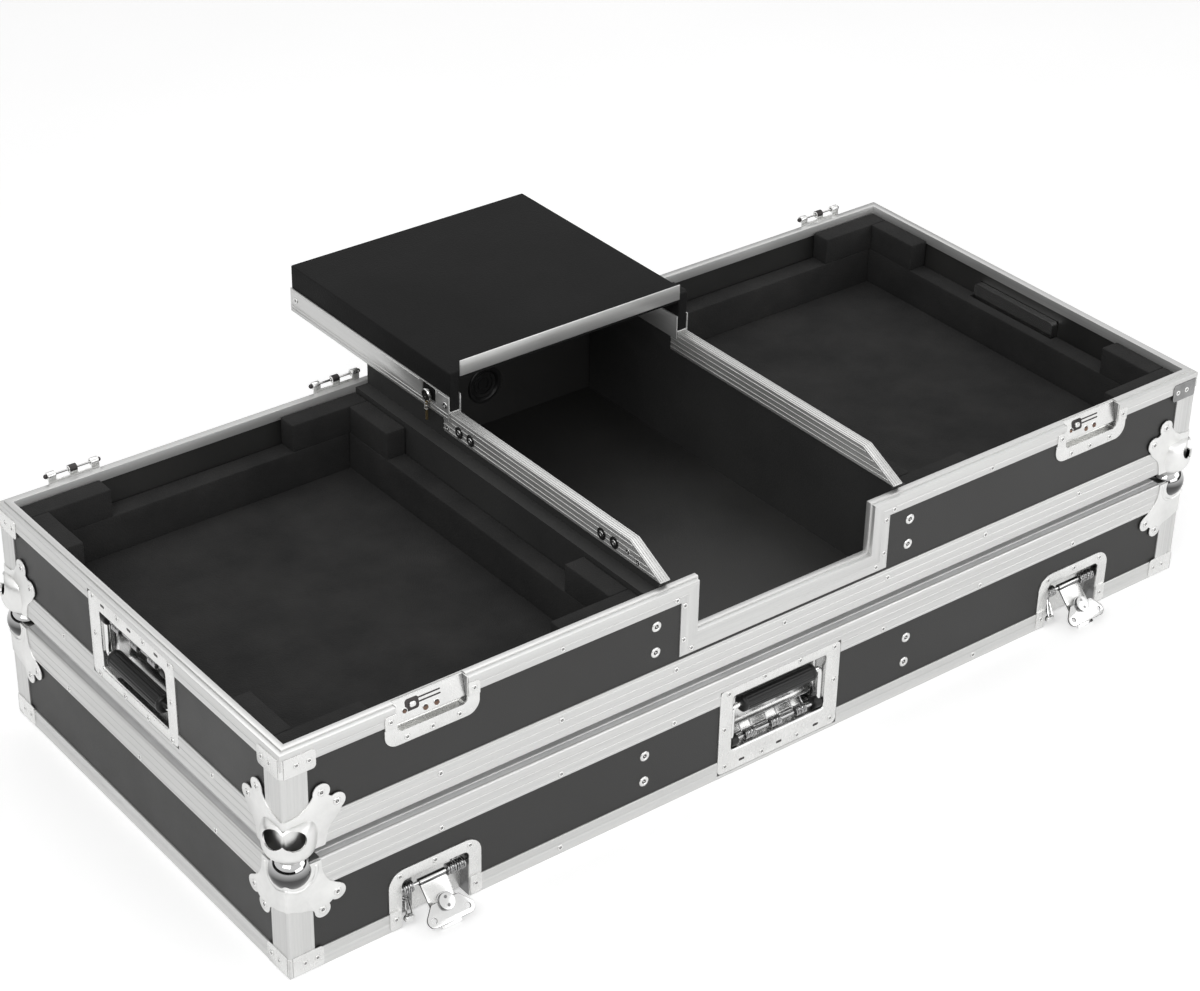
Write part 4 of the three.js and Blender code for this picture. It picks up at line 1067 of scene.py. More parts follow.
def coil_group():
    group, start, end = new_group("wound_coil", [
        ("Radius", "NodeSocketFloat", 5.0), ("Wire", "NodeSocketFloat", 0.9),
        ("Turns", "NodeSocketFloat", 6.0), ("Length", "NodeSocketFloat", 12.0),
        ("Finish", "NodeSocketMaterial", None)])
    spiral = add(group, "GeometryNodeCurveSpiral", {"Resolution": 20, "Rotations": start.outputs["Turns"],
                 "Start Radius": start.outputs["Radius"], "End Radius": start.outputs["Radius"],
                 "Height": start.outputs["Length"]})
    wire = add(group, "GeometryNodeCurvePrimitiveCircle", {"Resolution": 6, "Radius": start.outputs["Wire"]})
    tube = add(group, "GeometryNodeCurveToMesh",
               {"Curve": spiral, "Profile Curve": wire, "Fill Caps": True})
    real = add(group, "GeometryNodeRealizeInstances", {"Geometry": tube})
    finish = add(group, "GeometryNodeSetMaterial",
                 {"Geometry": real, "Material": start.outputs["Finish"]})
    group.links.new(finish.outputs["Geometry"], end.inputs["Geometry"])
    return group


COIL = coil_group()


def coil(radius, wire, turns, length, finish=None):
    mesh = grown("coil", COIL, {"Radius": radius, "Wire": wire, "Turns": turns, "Length": length,
                                "Finish": finish or SPRING_STEEL})
    return Shell(np.array([v.co for v in mesh.vertices]), [tuple(p.vertices) for p in mesh.polygons])


print("coil tree ready:", COIL.name)

# %% [markdown]
# The three handles are the same fitting. The one on the lid stands upright with its hinge low; the
# two on the ends of the base are turned over, so their bails hang from the top of the dish.
# %% Three handles
def hinge_parts():
    """What sits on the hinge line of a dish, in the dish's own measures."""
    depth, height = PIVOT
    steel = [moved(rod([(-POCKET_HALF, 0, 0), (0, 0, 0), (POCKET_HALF, 0, 0)], 2.2, 12),
                   slide(0, depth, height))]
    springs = []
    half = 7.0
    for middle in (-34.0, 0.0, 34.0):
        springs.append(moved(coil(4.6, 0.85, 7.0, 2 * half), spin(90, "Y"),
                             slide(middle - half, depth, height)))
        for x in (middle - half, middle + half):
            leg = [(x, depth + inwards, height + up) for inwards, up in ((3, 3), (7, 6), (9, 9))]
            springs.append(rod(leg, 0.85, 8, 0.2))
    springs.append(rod([(x, depth + 9.4, height + 9.4) for x in (-54, 0, 54)], 0.9, 8, 0.2))
    return steel, springs


def sleeve_shells():
    """Rubber sleeves over the bail's ends; they turn with it."""
    sleeve = lathe([(3.4, -5.2), (5.4, -4.8), (6.2, -3.6), (6.2, 3.6), (5.4, 4.8), (3.4, 5.2)], 24)
    return [moved(sleeve, spin(90, "Y"), slide(side * (POCKET_HALF - 5.8), 0, 0)) for side in (-1, 1)]


LID_DISH_CENTRE, BASE_DISH_CENTRE = 60.5, 202.5
handles = [("lid_handle", "lid", [slide(0, -HALF_DEPTH, LID_DISH_CENTRE)])]
for side, name in SIDES:
    steps = [spin(180, "Y"), spin(90 * side), slide(side * HALF_WIDTH, 0, BASE_DISH_CENTRE)]
    handles.append((f"base_{name}_handle", "base", steps))

LID_FLANGE_FOOT, LID_SLOTS = -55.5, -47.0
BASE_FLANGE_FOOT, BASE_SLOTS = -DISH_HALF[1], -41.5
dishes = {"lid": handle_dish(LID_FLANGE_FOOT, LID_SLOTS), "base": handle_dish(BASE_FLANGE_FOOT, BASE_SLOTS)}
hinge_steel, hinge_springs = hinge_parts()
to_hinge = slide(0, PIVOT[0], PIVOT[1])
for name, body, steps in handles:
    build(f"{name}_pan", all_moved(dishes[body], *steps), [ZINC, DARK_STEEL, WING_CHROME], body,
          [f"{name}_dish"], sharp=28)
    build(f"{name}_rod", all_moved(bail_rod(), to_hinge, *steps), CHROME, name)
    build(f"{name}_grip", [moved(grip_shell(), to_hinge, *steps)], RUBBER, name, [f"{name}_bail"],
          sharp=50)
    build(f"{name}_hinge", all_moved(hinge_steel + hinge_springs, *steps), SPRING_STEEL, body)
    build(f"{name}_sleeves", all_moved(sleeve_shells(), to_hinge, *steps), RUBBER, name)

# %% [markdown]
# ## Twist latches
# Each latch sits in a dish whose pocket is open below. An arm hangs from a pin, a wing turns on the
# arm, and its claw hooks over the keeper on the other half. The arm, the wing and the claw have
# their shape in the frame, so they get softened edges and a plated finish. A broad plate with two
# studs lies on each wing, and the pin, its springs, a clasp and the wire loop are added.
# %% Latch dishes
LATCH_POCKET = 38.5
LATCH_TOP = 56.0
LATCH_DEPTH, LATCH_ROOM = 17.2, 16
LATCH_PIN = (7, 39)


def latch_dish():
    low = LID_RIM_FACE + CLEAR
    flange = plate(rounded_rectangle((-53, low), (53, 69), (18, 18, 1.0, 1.0), 0, 8), -SKIN, 0, 0.4)
    pan_outline = rounded_rectangle((-LATCH_POCKET - 1.2, 1.0), (LATCH_POCKET + 1.2, LATCH_TOP + 1.2),
                                    (7, 7, 0.6, 0.6), 0)
    pan = plate(pan_outline, -LATCH_DEPTH, -0.6, 0.1)
    room = plate(rounded_rectangle((-LATCH_POCKET, -20), (LATCH_POCKET, LATCH_TOP), 6, 0), -LATCH_ROOM, 30,
                 0.1)
    body = worked([flange, pan], [room], bevel=0.9, segments=3, angle=50)
    # The pocket's side walls take the darker second finish: painted shade.
    remarked(body, 1,
             lambda at, way: at[2] < -2.2 and max(way[0], way[1]) > 0.5 and abs(at[0]) < LATCH_POCKET + 0.4)
    arms = [plate(rounded_rectangle((x, 2.4), (x + 13.6, 24.0), (0.8, 0.8, 4.0, 4.0), 0), -0.4, 1.1, 0.5)
            for x in (-53.0, 39.4)]
    shades = [marked(plate(rounded_rectangle(low, high, 5, 0), -16.2, -15.6, 0.1))
              for low, high in [((-38.0, 3), (-17, 47)), ((-38.0, 44), (38.0, 55.6))]]
    return all_moved([body, *arms, *shades], ONTO_FRONT)


def latch_fittings():
    """The pin, its springs and the wire loop, which stay on the dish."""
    steel = [moved(rod([(x, 0, 0) for x in (-LATCH_POCKET, 0, LATCH_POCKET)], 2.0, 12), slide(0, *LATCH_PIN))]
    springs = []
    for start, length in ((-37, 15), (16.5, 9), (27, 9)):
        springs.append(moved(coil(5.0, 1.05, length / 2.5, length), spin(90, "Y"), slide(start, *LATCH_PIN)))
    for x, y, z, lean in ((-35, 9, 24, 30), (-26, 10, 20, -35), (-33, 11, 14, 15)):
        springs.append(moved(coil(3.0, 0.8, 4, 10), spin(lean, "Y"), slide(x, y, z)))
    loop = [(-27, 10, 37), (-29, 8.5, 30), (-33, 3, 20), (-34, -1, 12), (-31.5, -2.5, 8.5), (-28.6, -2, 10.5),
            (-28.6, 1, 18), (-28.2, 6, 27)]
    steel.append(rod(loop, 1.3, 10))
    clasp = rounded_rectangle((-37, 6), (-26.5, 13.5), 3.2, 0)
    steel.append(moved(plate(clasp, 0, 5, 1.4), ONTO_FRONT, slide(0, 1.0, 0)))
    springs.append(rod([(22, 7, 43), (26, 11, 47), (33, 13, 43)], 0.8, 8, 0.2))
    return steel, springs


WING_LOBES = (19.3, -12.2, 7.3)


def wing_cover(name):
    """A broad plate and two studs for the wing, laid in the plane of its solid by the cap's face."""
    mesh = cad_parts[f"latch_{name}_wing"].data
    away = max(mesh.polygons, key=lambda p: p.area).normal.copy()
    away = -away if away.y > 0 else away
    points = [vertex.co / MM for vertex in mesh.vertices]
    front = max(p.dot(away) for p in points)
    face = [p for p in points if p.dot(away) > front - 0.05]
    centre = sum(face, Vector()) / len(face) - Vector((0, MIDDLE_Y, 0))
    x, z, radius = WING_LOBES
    half = arc(x, z, radius, -90, 35, 12) + arc(14.6, 0.2, 2.6, 42, 90, 5)
    outline = half + [(-px, pz) for px, pz in half[::-1]]
    sheet = plate(outline, -4.95, -3.25, 0.45, both=True)
    drills = [moved(lathe([(3.1, -10), (3.1, 10)], 24), slide(side * x, z + 0.2, 0)) for side in (-1, 1)]
    cover = worked([sheet], drills)
    # The plate's cut edges take the dark third finish: a painted dark outline.
    remarked(cover, 2, lambda at, way: way[2] < 0.94)
    stud = marked(lathe([(1.7, -0.2), (1.7, 0.2), (1.2, 0.35), (0.05, 0.15)], 16))
    studs = [moved(stud, slide(0, z, 0)) for z in (-4.2, 4.2)]
    up = away.cross(Vector((1, 0, 0)))
    turned = Matrix(((1, up.x, away.x), (0, up.y, away.y), (0, up.z, away.z))).to_4x4()
    onto = Matrix.Translation(centre) @ turned
    return all_moved([cover, *studs], onto)


latch_steel, latch_springs = latch_fittings()
latch_made = latch_dish()
for side, name in SIDES:
    place = slide(side * LATCH_X, -HALF_DEPTH, 0)
    build(f"latch_{name}_pan", all_moved(latch_made, place), [ZINC, WALL_STEEL], "lid",
          [f"latch_{name}_dish"], sharp=40)
    build(f"latch_{name}_pin", all_moved(latch_steel, place), CHROME, "lid")
    build(f"latch_{name}_springs", all_moved(latch_springs, place), SPRING_STEEL, "lid")
    softened(f"latch_{name}_arm", [ZINC, WALL_STEEL], f"latch_{name}_arm_body", 0.5, edged=True)
    softened(f"latch_{name}_wing", [WING_CHROME, WALL_STEEL], f"latch_{name}_wing_body", 0.8,
             edged=True)
    build(f"latch_{name}_wing_cover", wing_cover(name), [WING_CHROME, WALL_STEEL, DARK_STEEL],
          f"latch_{name}_wing_body")
    softened(f"latch_{name}_claw", [CHROME], f"latch_{name}_claw_body", 0.35)

# %% [markdown]
# ## Keepers
# In the rim of the base, above each latch, is the keeper: a dish open at the top, whose sloping back
# carries the strike for the claw. The back is pierced by round holes that show the board behind, by
# two slots, and by a square opening with a raised tab in it. The slots and the opening are dark
# plates of painted shade, and the pan's side walls take a darker steel, painted shade too.
# %% Keepers
KEEPER_HALF = 38.5
KEEPER_DEPTH, KEEPER_ROOM = 10.2, 9


def keeper_shells():
    top, foot = -BASE_RIM_FACE - CLEAR, -44.5
    flange = plate(rounded_rectangle((-52.5, foot), (52.5, top), (1.0, 1.0, 14, 14), 0, 8), -SKIN, 0, 0.4)
    pan_outline = rounded_rectangle((-KEEPER_HALF - 1.2, -31.2), (KEEPER_HALF + 1.2, -1), (0.6, 0.6, 6, 6), 0)
    pan = plate(pan_outline, -KEEPER_DEPTH, -0.6, 0.1)
    room = plate(rounded_rectangle((-KEEPER_HALF, -30), (KEEPER_HALF, 30), 5, 0), -KEEPER_ROOM, 30, 0.1)
    body = worked([flange, pan], [room], bevel=0.9, segments=3, angle=50)
    # The pocket's side walls take the fourth finish, a darker steel: painted shade.
    remarked(body, 3, lambda at, way: at[2] < -1.6 and way[0] > 0.5 and abs(at[0]) < KEEPER_HALF + 0.4)
    arms = [plate(rounded_rectangle((x, -23.5), (x + 13.1, -8), radii, 0), -0.4, 1.1, 0.5)
            for x, radii in ((-52.5, (0.8, 3.5, 0.8, 0.8)), (39.4, (3.5, 0.8, 0.8, 0.8)))]
    back = [(-9.3, -1.2), (-8.2, -1.2), (-3.4, -22.4), (-3.6, -23.4), (-4.4, -24.2), (-9.3, -24.6)]
    slope = skinned([[(x, y, z) for z, y in back] for x in (-KEEPER_HALF + 0.3, KEEPER_HALF - 0.3)])
    tilt = math.degrees(math.atan2(4.8, 21.2))
    onto_slope = [spin(-tilt, "X"), slide(0, -12.0, -5.7)]
    shells = [body, slope, *arms]
    for x, y, radius in ((-4.8, -6.6, 3.7), (7.5, -6.2, 3.7), (-27.0, -2.0, 3.2)):
        rim = lathe([(radius, -0.2), (radius, 0.12), (radius - 0.5, 0.3), (radius - 0.8, 0.06), (0.3, 0.05)],
                    22)
        rim.marks = [2 if min(face) >= 66 else 0 for face in rim.faces]
        shells.append(moved(rim, slide(x, y, 0), *onto_slope))
        shade = plate(rounded_rectangle((x - 2.2, y + 1.0), (x + 1.6, y + 2.6), 0.7, 0), -0.2, 0.1, 0.05)
        shells.append(moved(marked(shade), *onto_slope))
    # The slots and the square opening are dark plates: painted shade.
    for y in (1.6, 5.8):
        slot = plate(rounded_rectangle((-11.5, y - 0.75), (13.0, y + 0.75), 0.7, 0), -0.3, 0.1, 0.05)
        shells.append(moved(marked(slot), *onto_slope))
    opening = plate(rounded_rectangle((-26.0, -3.8), (-11.0, 8.4), 3.0, 0), -0.3, 0.12, 0.05)
    tab = plate(rounded_rectangle((-22.0, -0.4), (-15.0, 5.0), 2.2, 0), -0.2, 2.0, 0.7)
    shells += [moved(marked(opening), *onto_slope), moved(tab, *onto_slope)]
    return all_moved(shells, ONTO_FRONT)


keeper_made = keeper_shells()
for side, name in SIDES:
    place = slide(side * KEEPER_X, -HALF_DEPTH, BASE_TOP)
    build(f"keeper_{name}_pan", all_moved(keeper_made, place),
          [ZINC, DARK_STEEL, PLYWOOD, WALL_STEEL], "base",
          [f"keeper_{name}"], sharp=40)

# %% [markdown]
# ## Rails, runners and the shelf
# Two channels cap the partitions, and the shelf's runners slide along them. Their shape in the frame
# is right, so they are softened copies, finished with the aluminium whose lines run front to back.
# The shelf board is covered in a coarse black skin and edged in front with an aluminium strip. The
# hinge halves are softened copies too.
# %% Rails and shelf
for side in ("left", "right"):
    softened(f"rail_{side}", [ALUMINIUM[1]], "base", 0.5)
    softened(f"shelf_runner_{side}", [ALUMINIUM[1]], "shelf", 0.4)
softened("shelf_front_strip", [ALUMINIUM[0]], "shelf", 0.5)
softened("shelf_tray", [SHELF_SKIN], "shelf", 1.5, 3)
HINGES = ("outer_left", "inner_left", "inner_right", "outer_right")
for body in ("lid", "base"):
    for place in HINGES:
        softened(f"{body}_hinge_{place}", [ZINC], body, 0.4)
print("rails, runners, shelf and hinges softened")

# %% [markdown]
# The rails and runners are drawn lengths too, with fine ridges that show on the outside, on the top
# and down the slope. A ridge is a small prism carried along a path. The hinge halves on the base
# keep their pin: a thin rod with a dark collar at its middle and a dark bead at each end.
# %% Ridges and hinge pins
RAIL_INNER, RAIL_OUTER = 145.0, 157.0
RAIL_TOP = BASE_TOP + 31.0
RUNNER_FACE = 158.9
RUNNER_FRONT, RUNNER_REAR = 94.5, 394
HINGE_LINE, HINGE_RISE = 266.0, 4.5
SLOPE_RUN, SLOPE_DROP = 48, 23.5
SLOPE_HEAD, RAIL_END = (-206.0, RAIL_TOP), (105.0, RAIL_TOP)
SLOPE_FOOT = (SLOPE_HEAD[0] - SLOPE_RUN, RAIL_TOP - SLOPE_DROP)


def ridge(path, across, out, width=1.3, proud=0.55):
    """A prism along a path; it is as wide as `across` says and stands out along `out`."""
    across, out = np.array(across, float), np.array(out, float)
    section = [(-width / 2, -0.2), (width / 2, -0.2), (width / 4, proud), (-width / 4, proud)]
    return skinned([[np.array(at) + across * a + out * o for a, o in section] for at in path])


for side, name in SIDES:
    lines = []
    for x in (146.6, 149.8, 152.8, 155.6):
        path = [(side * x, *spot) for spot in (SLOPE_FOOT, SLOPE_HEAD, RAIL_END)]
        lines.append(ridge(path, (1, 0, 0), (0, 0, 1), 1.5, 0.8))
    for drop in (4.5, 10.5, 16.5, 21.5):
        start = min(SLOPE_HEAD[0], SLOPE_HEAD[0] - (drop - 1.5) * SLOPE_RUN / SLOPE_DROP + 2)
        for x, facing in ((RAIL_OUTER, side), (RAIL_INNER, -side)):
            path = [(side * x, start, RAIL_TOP - drop), (side * x, RAIL_END[0], RAIL_TOP - drop)]
            lines.append(ridge(path, (0, 0, 1), (facing, 0, 0)))
    build(f"rail_ridges_{name}", lines, ALUMINIUM[1], "base")
    lines = []
    for rise, start, stop in ((-5.0, RUNNER_FRONT, RUNNER_REAR), (-1.0, RUNNER_FRONT, RUNNER_REAR),
                              (18.0, RUNNER_FRONT, 112), (18.0, 146, RUNNER_REAR)):
        path = [(side * RUNNER_FACE, y, RAIL_TOP + rise) for y in (start, stop)]
        lines.append(ridge(path, (0, 0, 1), (side, 0, 0)))
    build(f"runner_ridges_{name}", lines, ALUMINIUM[1], "shelf")

for place in HINGES:
    low, high = from_middle(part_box(f"base_hinge_{place}"))
    axis = slide((low[0] + high[0]) / 2, HINGE_LINE, BASE_TOP + HINGE_RISE)
    pin = moved(rod([(-29.5, 0, 0), (0, 0, 0), (29.5, 0, 0)], 1.3, 10), axis)
    beads = [marked(sphere(2.5, (end, 0, 0), 16, 10)) for end in (-30.0, 30.0)]
    collar = marked(moved(lathe([(2.4, -4.3), (4.25, -4.2), (4.25, 4.2), (2.4, 4.3)], 20), spin(90, "Y")))
    build(f"hinge_pin_{place}", [pin, *(moved(item, axis) for item in [*beads, collar])],
          [CHROME, DARK_STEEL], "base")

# %% [markdown]
# Cables leave through a rubber port in the rear board: rings that step inwards to a thin skin, which
# is slit crosswise so that a plug can be pushed through.
# %% Cable port
port_low, port_high = from_middle(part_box("cable_grommet"))
port_long = port_high[1] - port_low[1]
face = [(0.05, 4.0), (6.0, 4.0), (6.4, 3.2), (7.4, 3.2), (7.8, 4.0), (11.2, 4.0), (11.6, 3.0), (12.8, 3.0),
        (13.2, 3.6), (15.6, 3.2), (16.6, 1.4), (18.2, 0.2), (21.4, 0.2), (22.4, 1.0), (22.4, 2.0),
        (17.8, 2.0)]
port = lathe([(radius, height) for radius, height in face]
             + [(radius, port_long - height) for radius, height in face[::-1]], 48)
slits = [marked(box_shell((-w, -h, 3.95), (w, h, 4.06))) for w, h in ((10.5, 0.35), (0.35, 10.5))]
towards_rear = Matrix(((1, 0, 0, 0), (0, 0, 1, 0), (0, -1, 0, 0), (0, 0, 0, 1)))
middle_x, middle_z = (port_low[0] + port_high[0]) / 2, (port_low[2] + port_high[2]) / 2
build("cable_port",
      [moved(item, towards_rear, slide(middle_x, port_low[1], middle_z)) for item in [port, *slits]],
      [PLASTIC, DARK_STEEL], "base", ["cable_grommet"])

# %% [markdown]
# Each runner is locked to its rail by a spring pin: a round knob to pull, a coil under it and a pin
# that drops beside the rail.
# %% Spring locks
for side, name in SIDES:
    low, high = from_middle(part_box(f"shelf_lock_{name}"))
    middle = (low + high) / 2
    top, foot = high[2], low[2]
    x_out = high[0] if side > 0 else low[0]
    knob = lathe([(4.5, 0), (6.4, 0.4), (7.0, 1.2), (7.0, 3.6), (6.2, 4.6), (3.0, 5.0), (2.2, 4.7),
                  (0.6, 4.6)], 28)
    knob = moved(knob, spin(90 * side, "Y"), slide(x_out - side * 5, middle[1], top - 7))
    pin = rod([(middle[0], middle[1], foot), (middle[0], middle[1], (foot + top) / 2),
               (middle[0], middle[1], top - 8)], 1.5, 14)
    build(f"lock_knob_{name}", [knob], CHROME, f"shelf_lock_{name}_body", [f"shelf_lock_{name}"])
    build(f"lock_pin_{name}", [pin], BRASS, f"shelf_lock_{name}_body")
    spring = moved(coil(2.3, 0.45, 6, 9.0), slide(middle[0], middle[1], top - 24))
    build(f"lock_spring_{name}", [spring], SPRING_STEEL, f"shelf_lock_{name}_body")

# %% [markdown]
# ## Foam
# Each well is lined with charcoal foam: a pad on the floor, strips along the walls and taller blocks
# in the corners that hold the turntable by its own corners. Foam is cut with a blade, so its faces
# are flat but its edges are a little soft and nothing is quite straight. Subdivided blocks whose
# faces are drawn in unevenly, by a few tenths of a millimetre, give that.
# %% Foam linings
def foam_block(low, high, cell=12.0, soft=1.6, drawn_in=0.5, seed=0.0):
    """A box of foam: a grid on each face, softened at the edges and slightly uneven."""
    low, high = np.array(low, float), np.array(high, float)
    size = high - low
    counts = np.maximum(np.round(size / cell).astype(int), 2)
    work = bmesh.new()
    bmesh.ops.create_cube(work, size=1.0)
    for vertex in work.verts:
        vertex.co = Vector(low + (np.array(vertex.co) + 0.5) * size)
    for axis in range(3):
        for k in range(1, counts[axis]):
            point, normal = low.copy(), Vector((0, 0, 0))
            point[axis] += size[axis] * k / counts[axis]
            normal[axis] = 1.0
            geometry = work.verts[:] + work.edges[:] + work.faces[:]
            bmesh.ops.bisect_plane(work, geom=geometry, plane_co=point, plane_no=normal)
    sharp_edges = [e for e in work.edges if e.calc_face_angle(0) > 0.5]
    bmesh.ops.bevel(work, geom=sharp_edges, offset=soft, segments=3, affect="EDGES", profile=0.5)
    for vertex in work.verts:
        x, y, z = vertex.co
        wave = (math.sin(x * 0.043 + seed) * math.sin(y * 0.051 + seed * 2)
                + math.sin(z * 0.11 + x * 0.023 + seed)) / 2
        vertex.co -= Vector(vertex.normal) * drawn_in * (0.5 + 0.5 * wave)
    points = [tuple(v.co) for v in work.verts]
    work.verts.index_update()
    faces = [[v.index for v in face.verts] for face in work.faces]
    work.free()
    return Shell(points, faces)


FOAM_STRIP = 24.0
FOAM_PAD = 25
STRIP_DROP, BLOCK_DROP = 40, 8
BLOCK_REACH = 95.0
DISH_ROOM = ((566.5, -66, 158), (600, 66, 245))
for side, name in SIDES:
    low, high = from_middle(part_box(f"foam_{name}"))
    pad_top, strip_top, block_top = low[2] + FOAM_PAD, BASE_TOP - STRIP_DROP, BASE_TOP - BLOCK_DROP
    dish_room = box_shell(*((side * x, y, z) for x, y, z in DISH_ROOM))
    shells = [worked([foam_block(low, (high[0], high[1], pad_top), 22, seed=1.0)], [dish_room])]
    walls = [((low[0], low[1]), (low[0] + FOAM_STRIP, high[1])),
             ((high[0] - FOAM_STRIP, low[1]), (high[0], high[1])),
             ((low[0] + FOAM_STRIP, low[1]), (high[0] - FOAM_STRIP, low[1] + FOAM_STRIP)),
             ((low[0] + FOAM_STRIP, high[1] - FOAM_STRIP), (high[0] - FOAM_STRIP, high[1]))]
    for k, ((x0, y0), (x1, y1)) in enumerate(walls):
        outer_wall = (k == 0 and side < 0) or (k == 1 and side > 0)
        strip = foam_block((x0, y0, pad_top - 1), (x1, y1, strip_top), seed=k + 2.0)
        shells.append(worked([strip], [dish_room]) if outer_wall else strip)
    for end_x, sx in ((low[0], 1), (high[0], -1)):
        for end_y, sy in ((low[1], 1), (high[1], -1)):
            legs = [((0, BLOCK_REACH), (0, FOAM_STRIP), end_x * 0.01 + sy),
                    ((0, FOAM_STRIP), (FOAM_STRIP, BLOCK_REACH), end_y * 0.01 + sx)]
            for along_x, along_y, seed in legs:
                xs, ys = sorted(end_x + sx * x for x in along_x), sorted(end_y + sy * y for y in along_y)
                shells.append(foam_block((xs[0], ys[0], strip_top - 1), (xs[1], ys[1], block_top), seed=seed))
    lining = build(f"foam_lining_{name}", shells, FOAM, "base", [f"foam_{name}"], sharp=60)

# %% [markdown]
# ## Rivets and screws
# Rivets hold the fittings. Each is the same head, so they are scattered by Geometry Nodes: loose
# points carry the way they face and their size, one head is made of a ring, a floor and the stub of
# its mandrel, and the instances are made real at the end. The floor is dark: painted shade in the
# head's hollow.
# %% Geometry Nodes: rivet heads
def rivet_group():
    group, start, end = new_group("rivet_heads", [
        ("Radius", "NodeSocketFloat", 3.0), ("Finish", "NodeSocketMaterial", None),
        ("Pit", "NodeSocketMaterial", None)])
    radius = start.outputs["Radius"]

    def times(factor):
        return add(group, "ShaderNodeMath", {0: radius, 1: factor}, operation="MULTIPLY").outputs[0]

    rail = add(group, "GeometryNodeCurvePrimitiveCircle", {"Resolution": 18, "Radius": times(0.67)})
    bead = add(group, "GeometryNodeCurvePrimitiveCircle", {"Resolution": 8, "Radius": times(0.33)})
    rim = add(group, "GeometryNodeCurveToMesh", {"Curve": rail, "Profile Curve": bead})
    flat = add(group, "GeometryNodeTransform", {"Geometry": rim, "Scale": (1, 1, 0.62)})
    smooth = add(group, "GeometryNodeSetShadeSmooth", {"Geometry": flat})
    # The floor of the pit later takes the dark pit finish: painted shade in the rivet's hollow.
    floor = add(group, "GeometryNodeMeshCylinder",
                {"Vertices": 12, "Radius": times(0.58), "Depth": times(0.16)})
    pit = add(group, "GeometryNodeStoreNamedAttribute",
              {"Geometry": floor, "Name": "in_painted_pit_shade", "Value": True}, data_type="BOOLEAN", domain="FACE")
    stub = add(group, "GeometryNodeMeshIcoSphere", {"Radius": times(0.17), "Subdivisions": 2})
    whole = group.nodes.new("GeometryNodeJoinGeometry")
    for part in (smooth.outputs["Geometry"], pit.outputs["Geometry"], stub.outputs["Mesh"]):
        group.links.new(part, whole.inputs["Geometry"])
    facing = add(group, "GeometryNodeInputNamedAttribute", {"Name": "facing"}, data_type="FLOAT_VECTOR")
    turn = add(group, "FunctionNodeAlignRotationToVector", {"Vector": facing.outputs["Attribute"]}, axis="Z")
    size = add(group, "GeometryNodeInputNamedAttribute", {"Name": "size"}, data_type="FLOAT")
    spread = add(group, "GeometryNodeInstanceOnPoints", {"Points": start.outputs["Geometry"],
                 "Instance": whole, "Rotation": turn, "Scale": size.outputs["Attribute"]})
    real = add(group, "GeometryNodeRealizeInstances", {"Geometry": spread})
    bright = add(group, "GeometryNodeSetMaterial",
                 {"Geometry": real, "Material": start.outputs["Finish"]})
    inside = add(group, "GeometryNodeInputNamedAttribute", {"Name": "in_painted_pit_shade"}, data_type="BOOLEAN")
    dark = add(group, "GeometryNodeSetMaterial",
               {"Geometry": bright, "Selection": inside.outputs["Attribute"],
                "Material": start.outputs["Pit"]})
    group.links.new(dark.outputs["Geometry"], end.inputs["Geometry"])
    return group


RIVETS = rivet_group()
FRONT, REAR, LEFT, RIGHT = (0, -1, 0), (0, 1, 0), (-1, 0, 0), (1, 0, 0)
rivet_rows = {"lid": [], "base": [], "shelf": []}


def rivet(body, point, facing, size=1.0):
    rivet_rows[body].append((point, facing, size))


def corner_rivets(body, height, way, spots, size, proud):
    """The same rivets on both faces of all four corners, as distances from the corner and the height."""
    for quarter, (_, sx, sy) in enumerate(CORNERS):
        turned = spin(90 * quarter)
        corner = Vector((sx * HALF_WIDTH, sy * HALF_DEPTH, height))
        for a, z in spots:
            for point, facing in (((a, -proud, way * z), FRONT), ((-proud, a, way * z), LEFT)):
                rivet(body, tuple(turned @ Vector(point) + corner), tuple(turned @ Vector(facing)), size)


def on_faces(body, height, across, along):
    """Rivets at one height: across the front and rear, and along both ends."""
    for x in across:
        rivet(body, (x, -HALF_DEPTH, height), FRONT)
        rivet(body, (x, HALF_DEPTH, height), REAR)
    for y in along:
        rivet(body, (-HALF_WIDTH, y, height), LEFT)
        rivet(body, (HALF_WIDTH, y, height), RIGHT)


print("rivet tree ready")

# %% [markdown]
# The rows follow the photograph: one rivet about every 140 mm along each extrusion, two at each
# mitre of the notch, a ring of them round each dish and keeper, and large capped ones through the
# front boards where the partitions are fixed.
# %% Rivets in their places
WIDE = [-419, -279, -139.5, 0, 139.5, 279, 419]
DEEP = [-140, 0, 140]
RAIL_SCREWS, RAIL_SCREW_HEIGHT = (77.5, 57.5, -162, -182), 274
on_faces("lid", 97.5, [x for x in WIDE if x], DEEP)
on_faces("base", 161.3, WIDE, [-140, 140])
for x in (-279, 279):
    rivet("lid", (x, -HALF_DEPTH, 8), FRONT)
    rivet("base", (x, -HALF_DEPTH, 243), FRONT, 0.9)
for sx in (-1, 1):
    for x, z in [(141.5, 243), (131.5, 233.5), (131.5, 194), (121.5, 180.5)]:
        rivet("base", (sx * x, -HALF_DEPTH, z), FRONT, 0.95)
    for z in (222, 192):
        rivet("base", (sx * 165.5, -HALF_DEPTH + 1.5, z), FRONT, 1.7)
    for z in (72, 41):
        rivet("lid", (sx * 175, -HALF_DEPTH + 1.5, z), FRONT, 1.7)
for x, z in [(-22, 105), (25, 105), (-69, 102.5), (72, 102.5), (-73, 60), (74, 61), (-70, 13), (-21, 11),
             (27, 11), (72, 13)]:
    rivet("lid", (x, -HALF_DEPTH, z), FRONT)
for sx, facing in ((-1, LEFT), (1, RIGHT)):
    for y, z in [(71, 203), (-71, 203), (68, 158), (20, 158), (-24, 158), (-68, 158), (71, 246), (-71, 246),
                 (24, 245), (-24, 245)]:
        rivet("base", (sx * HALF_WIDTH, y, z), facing)
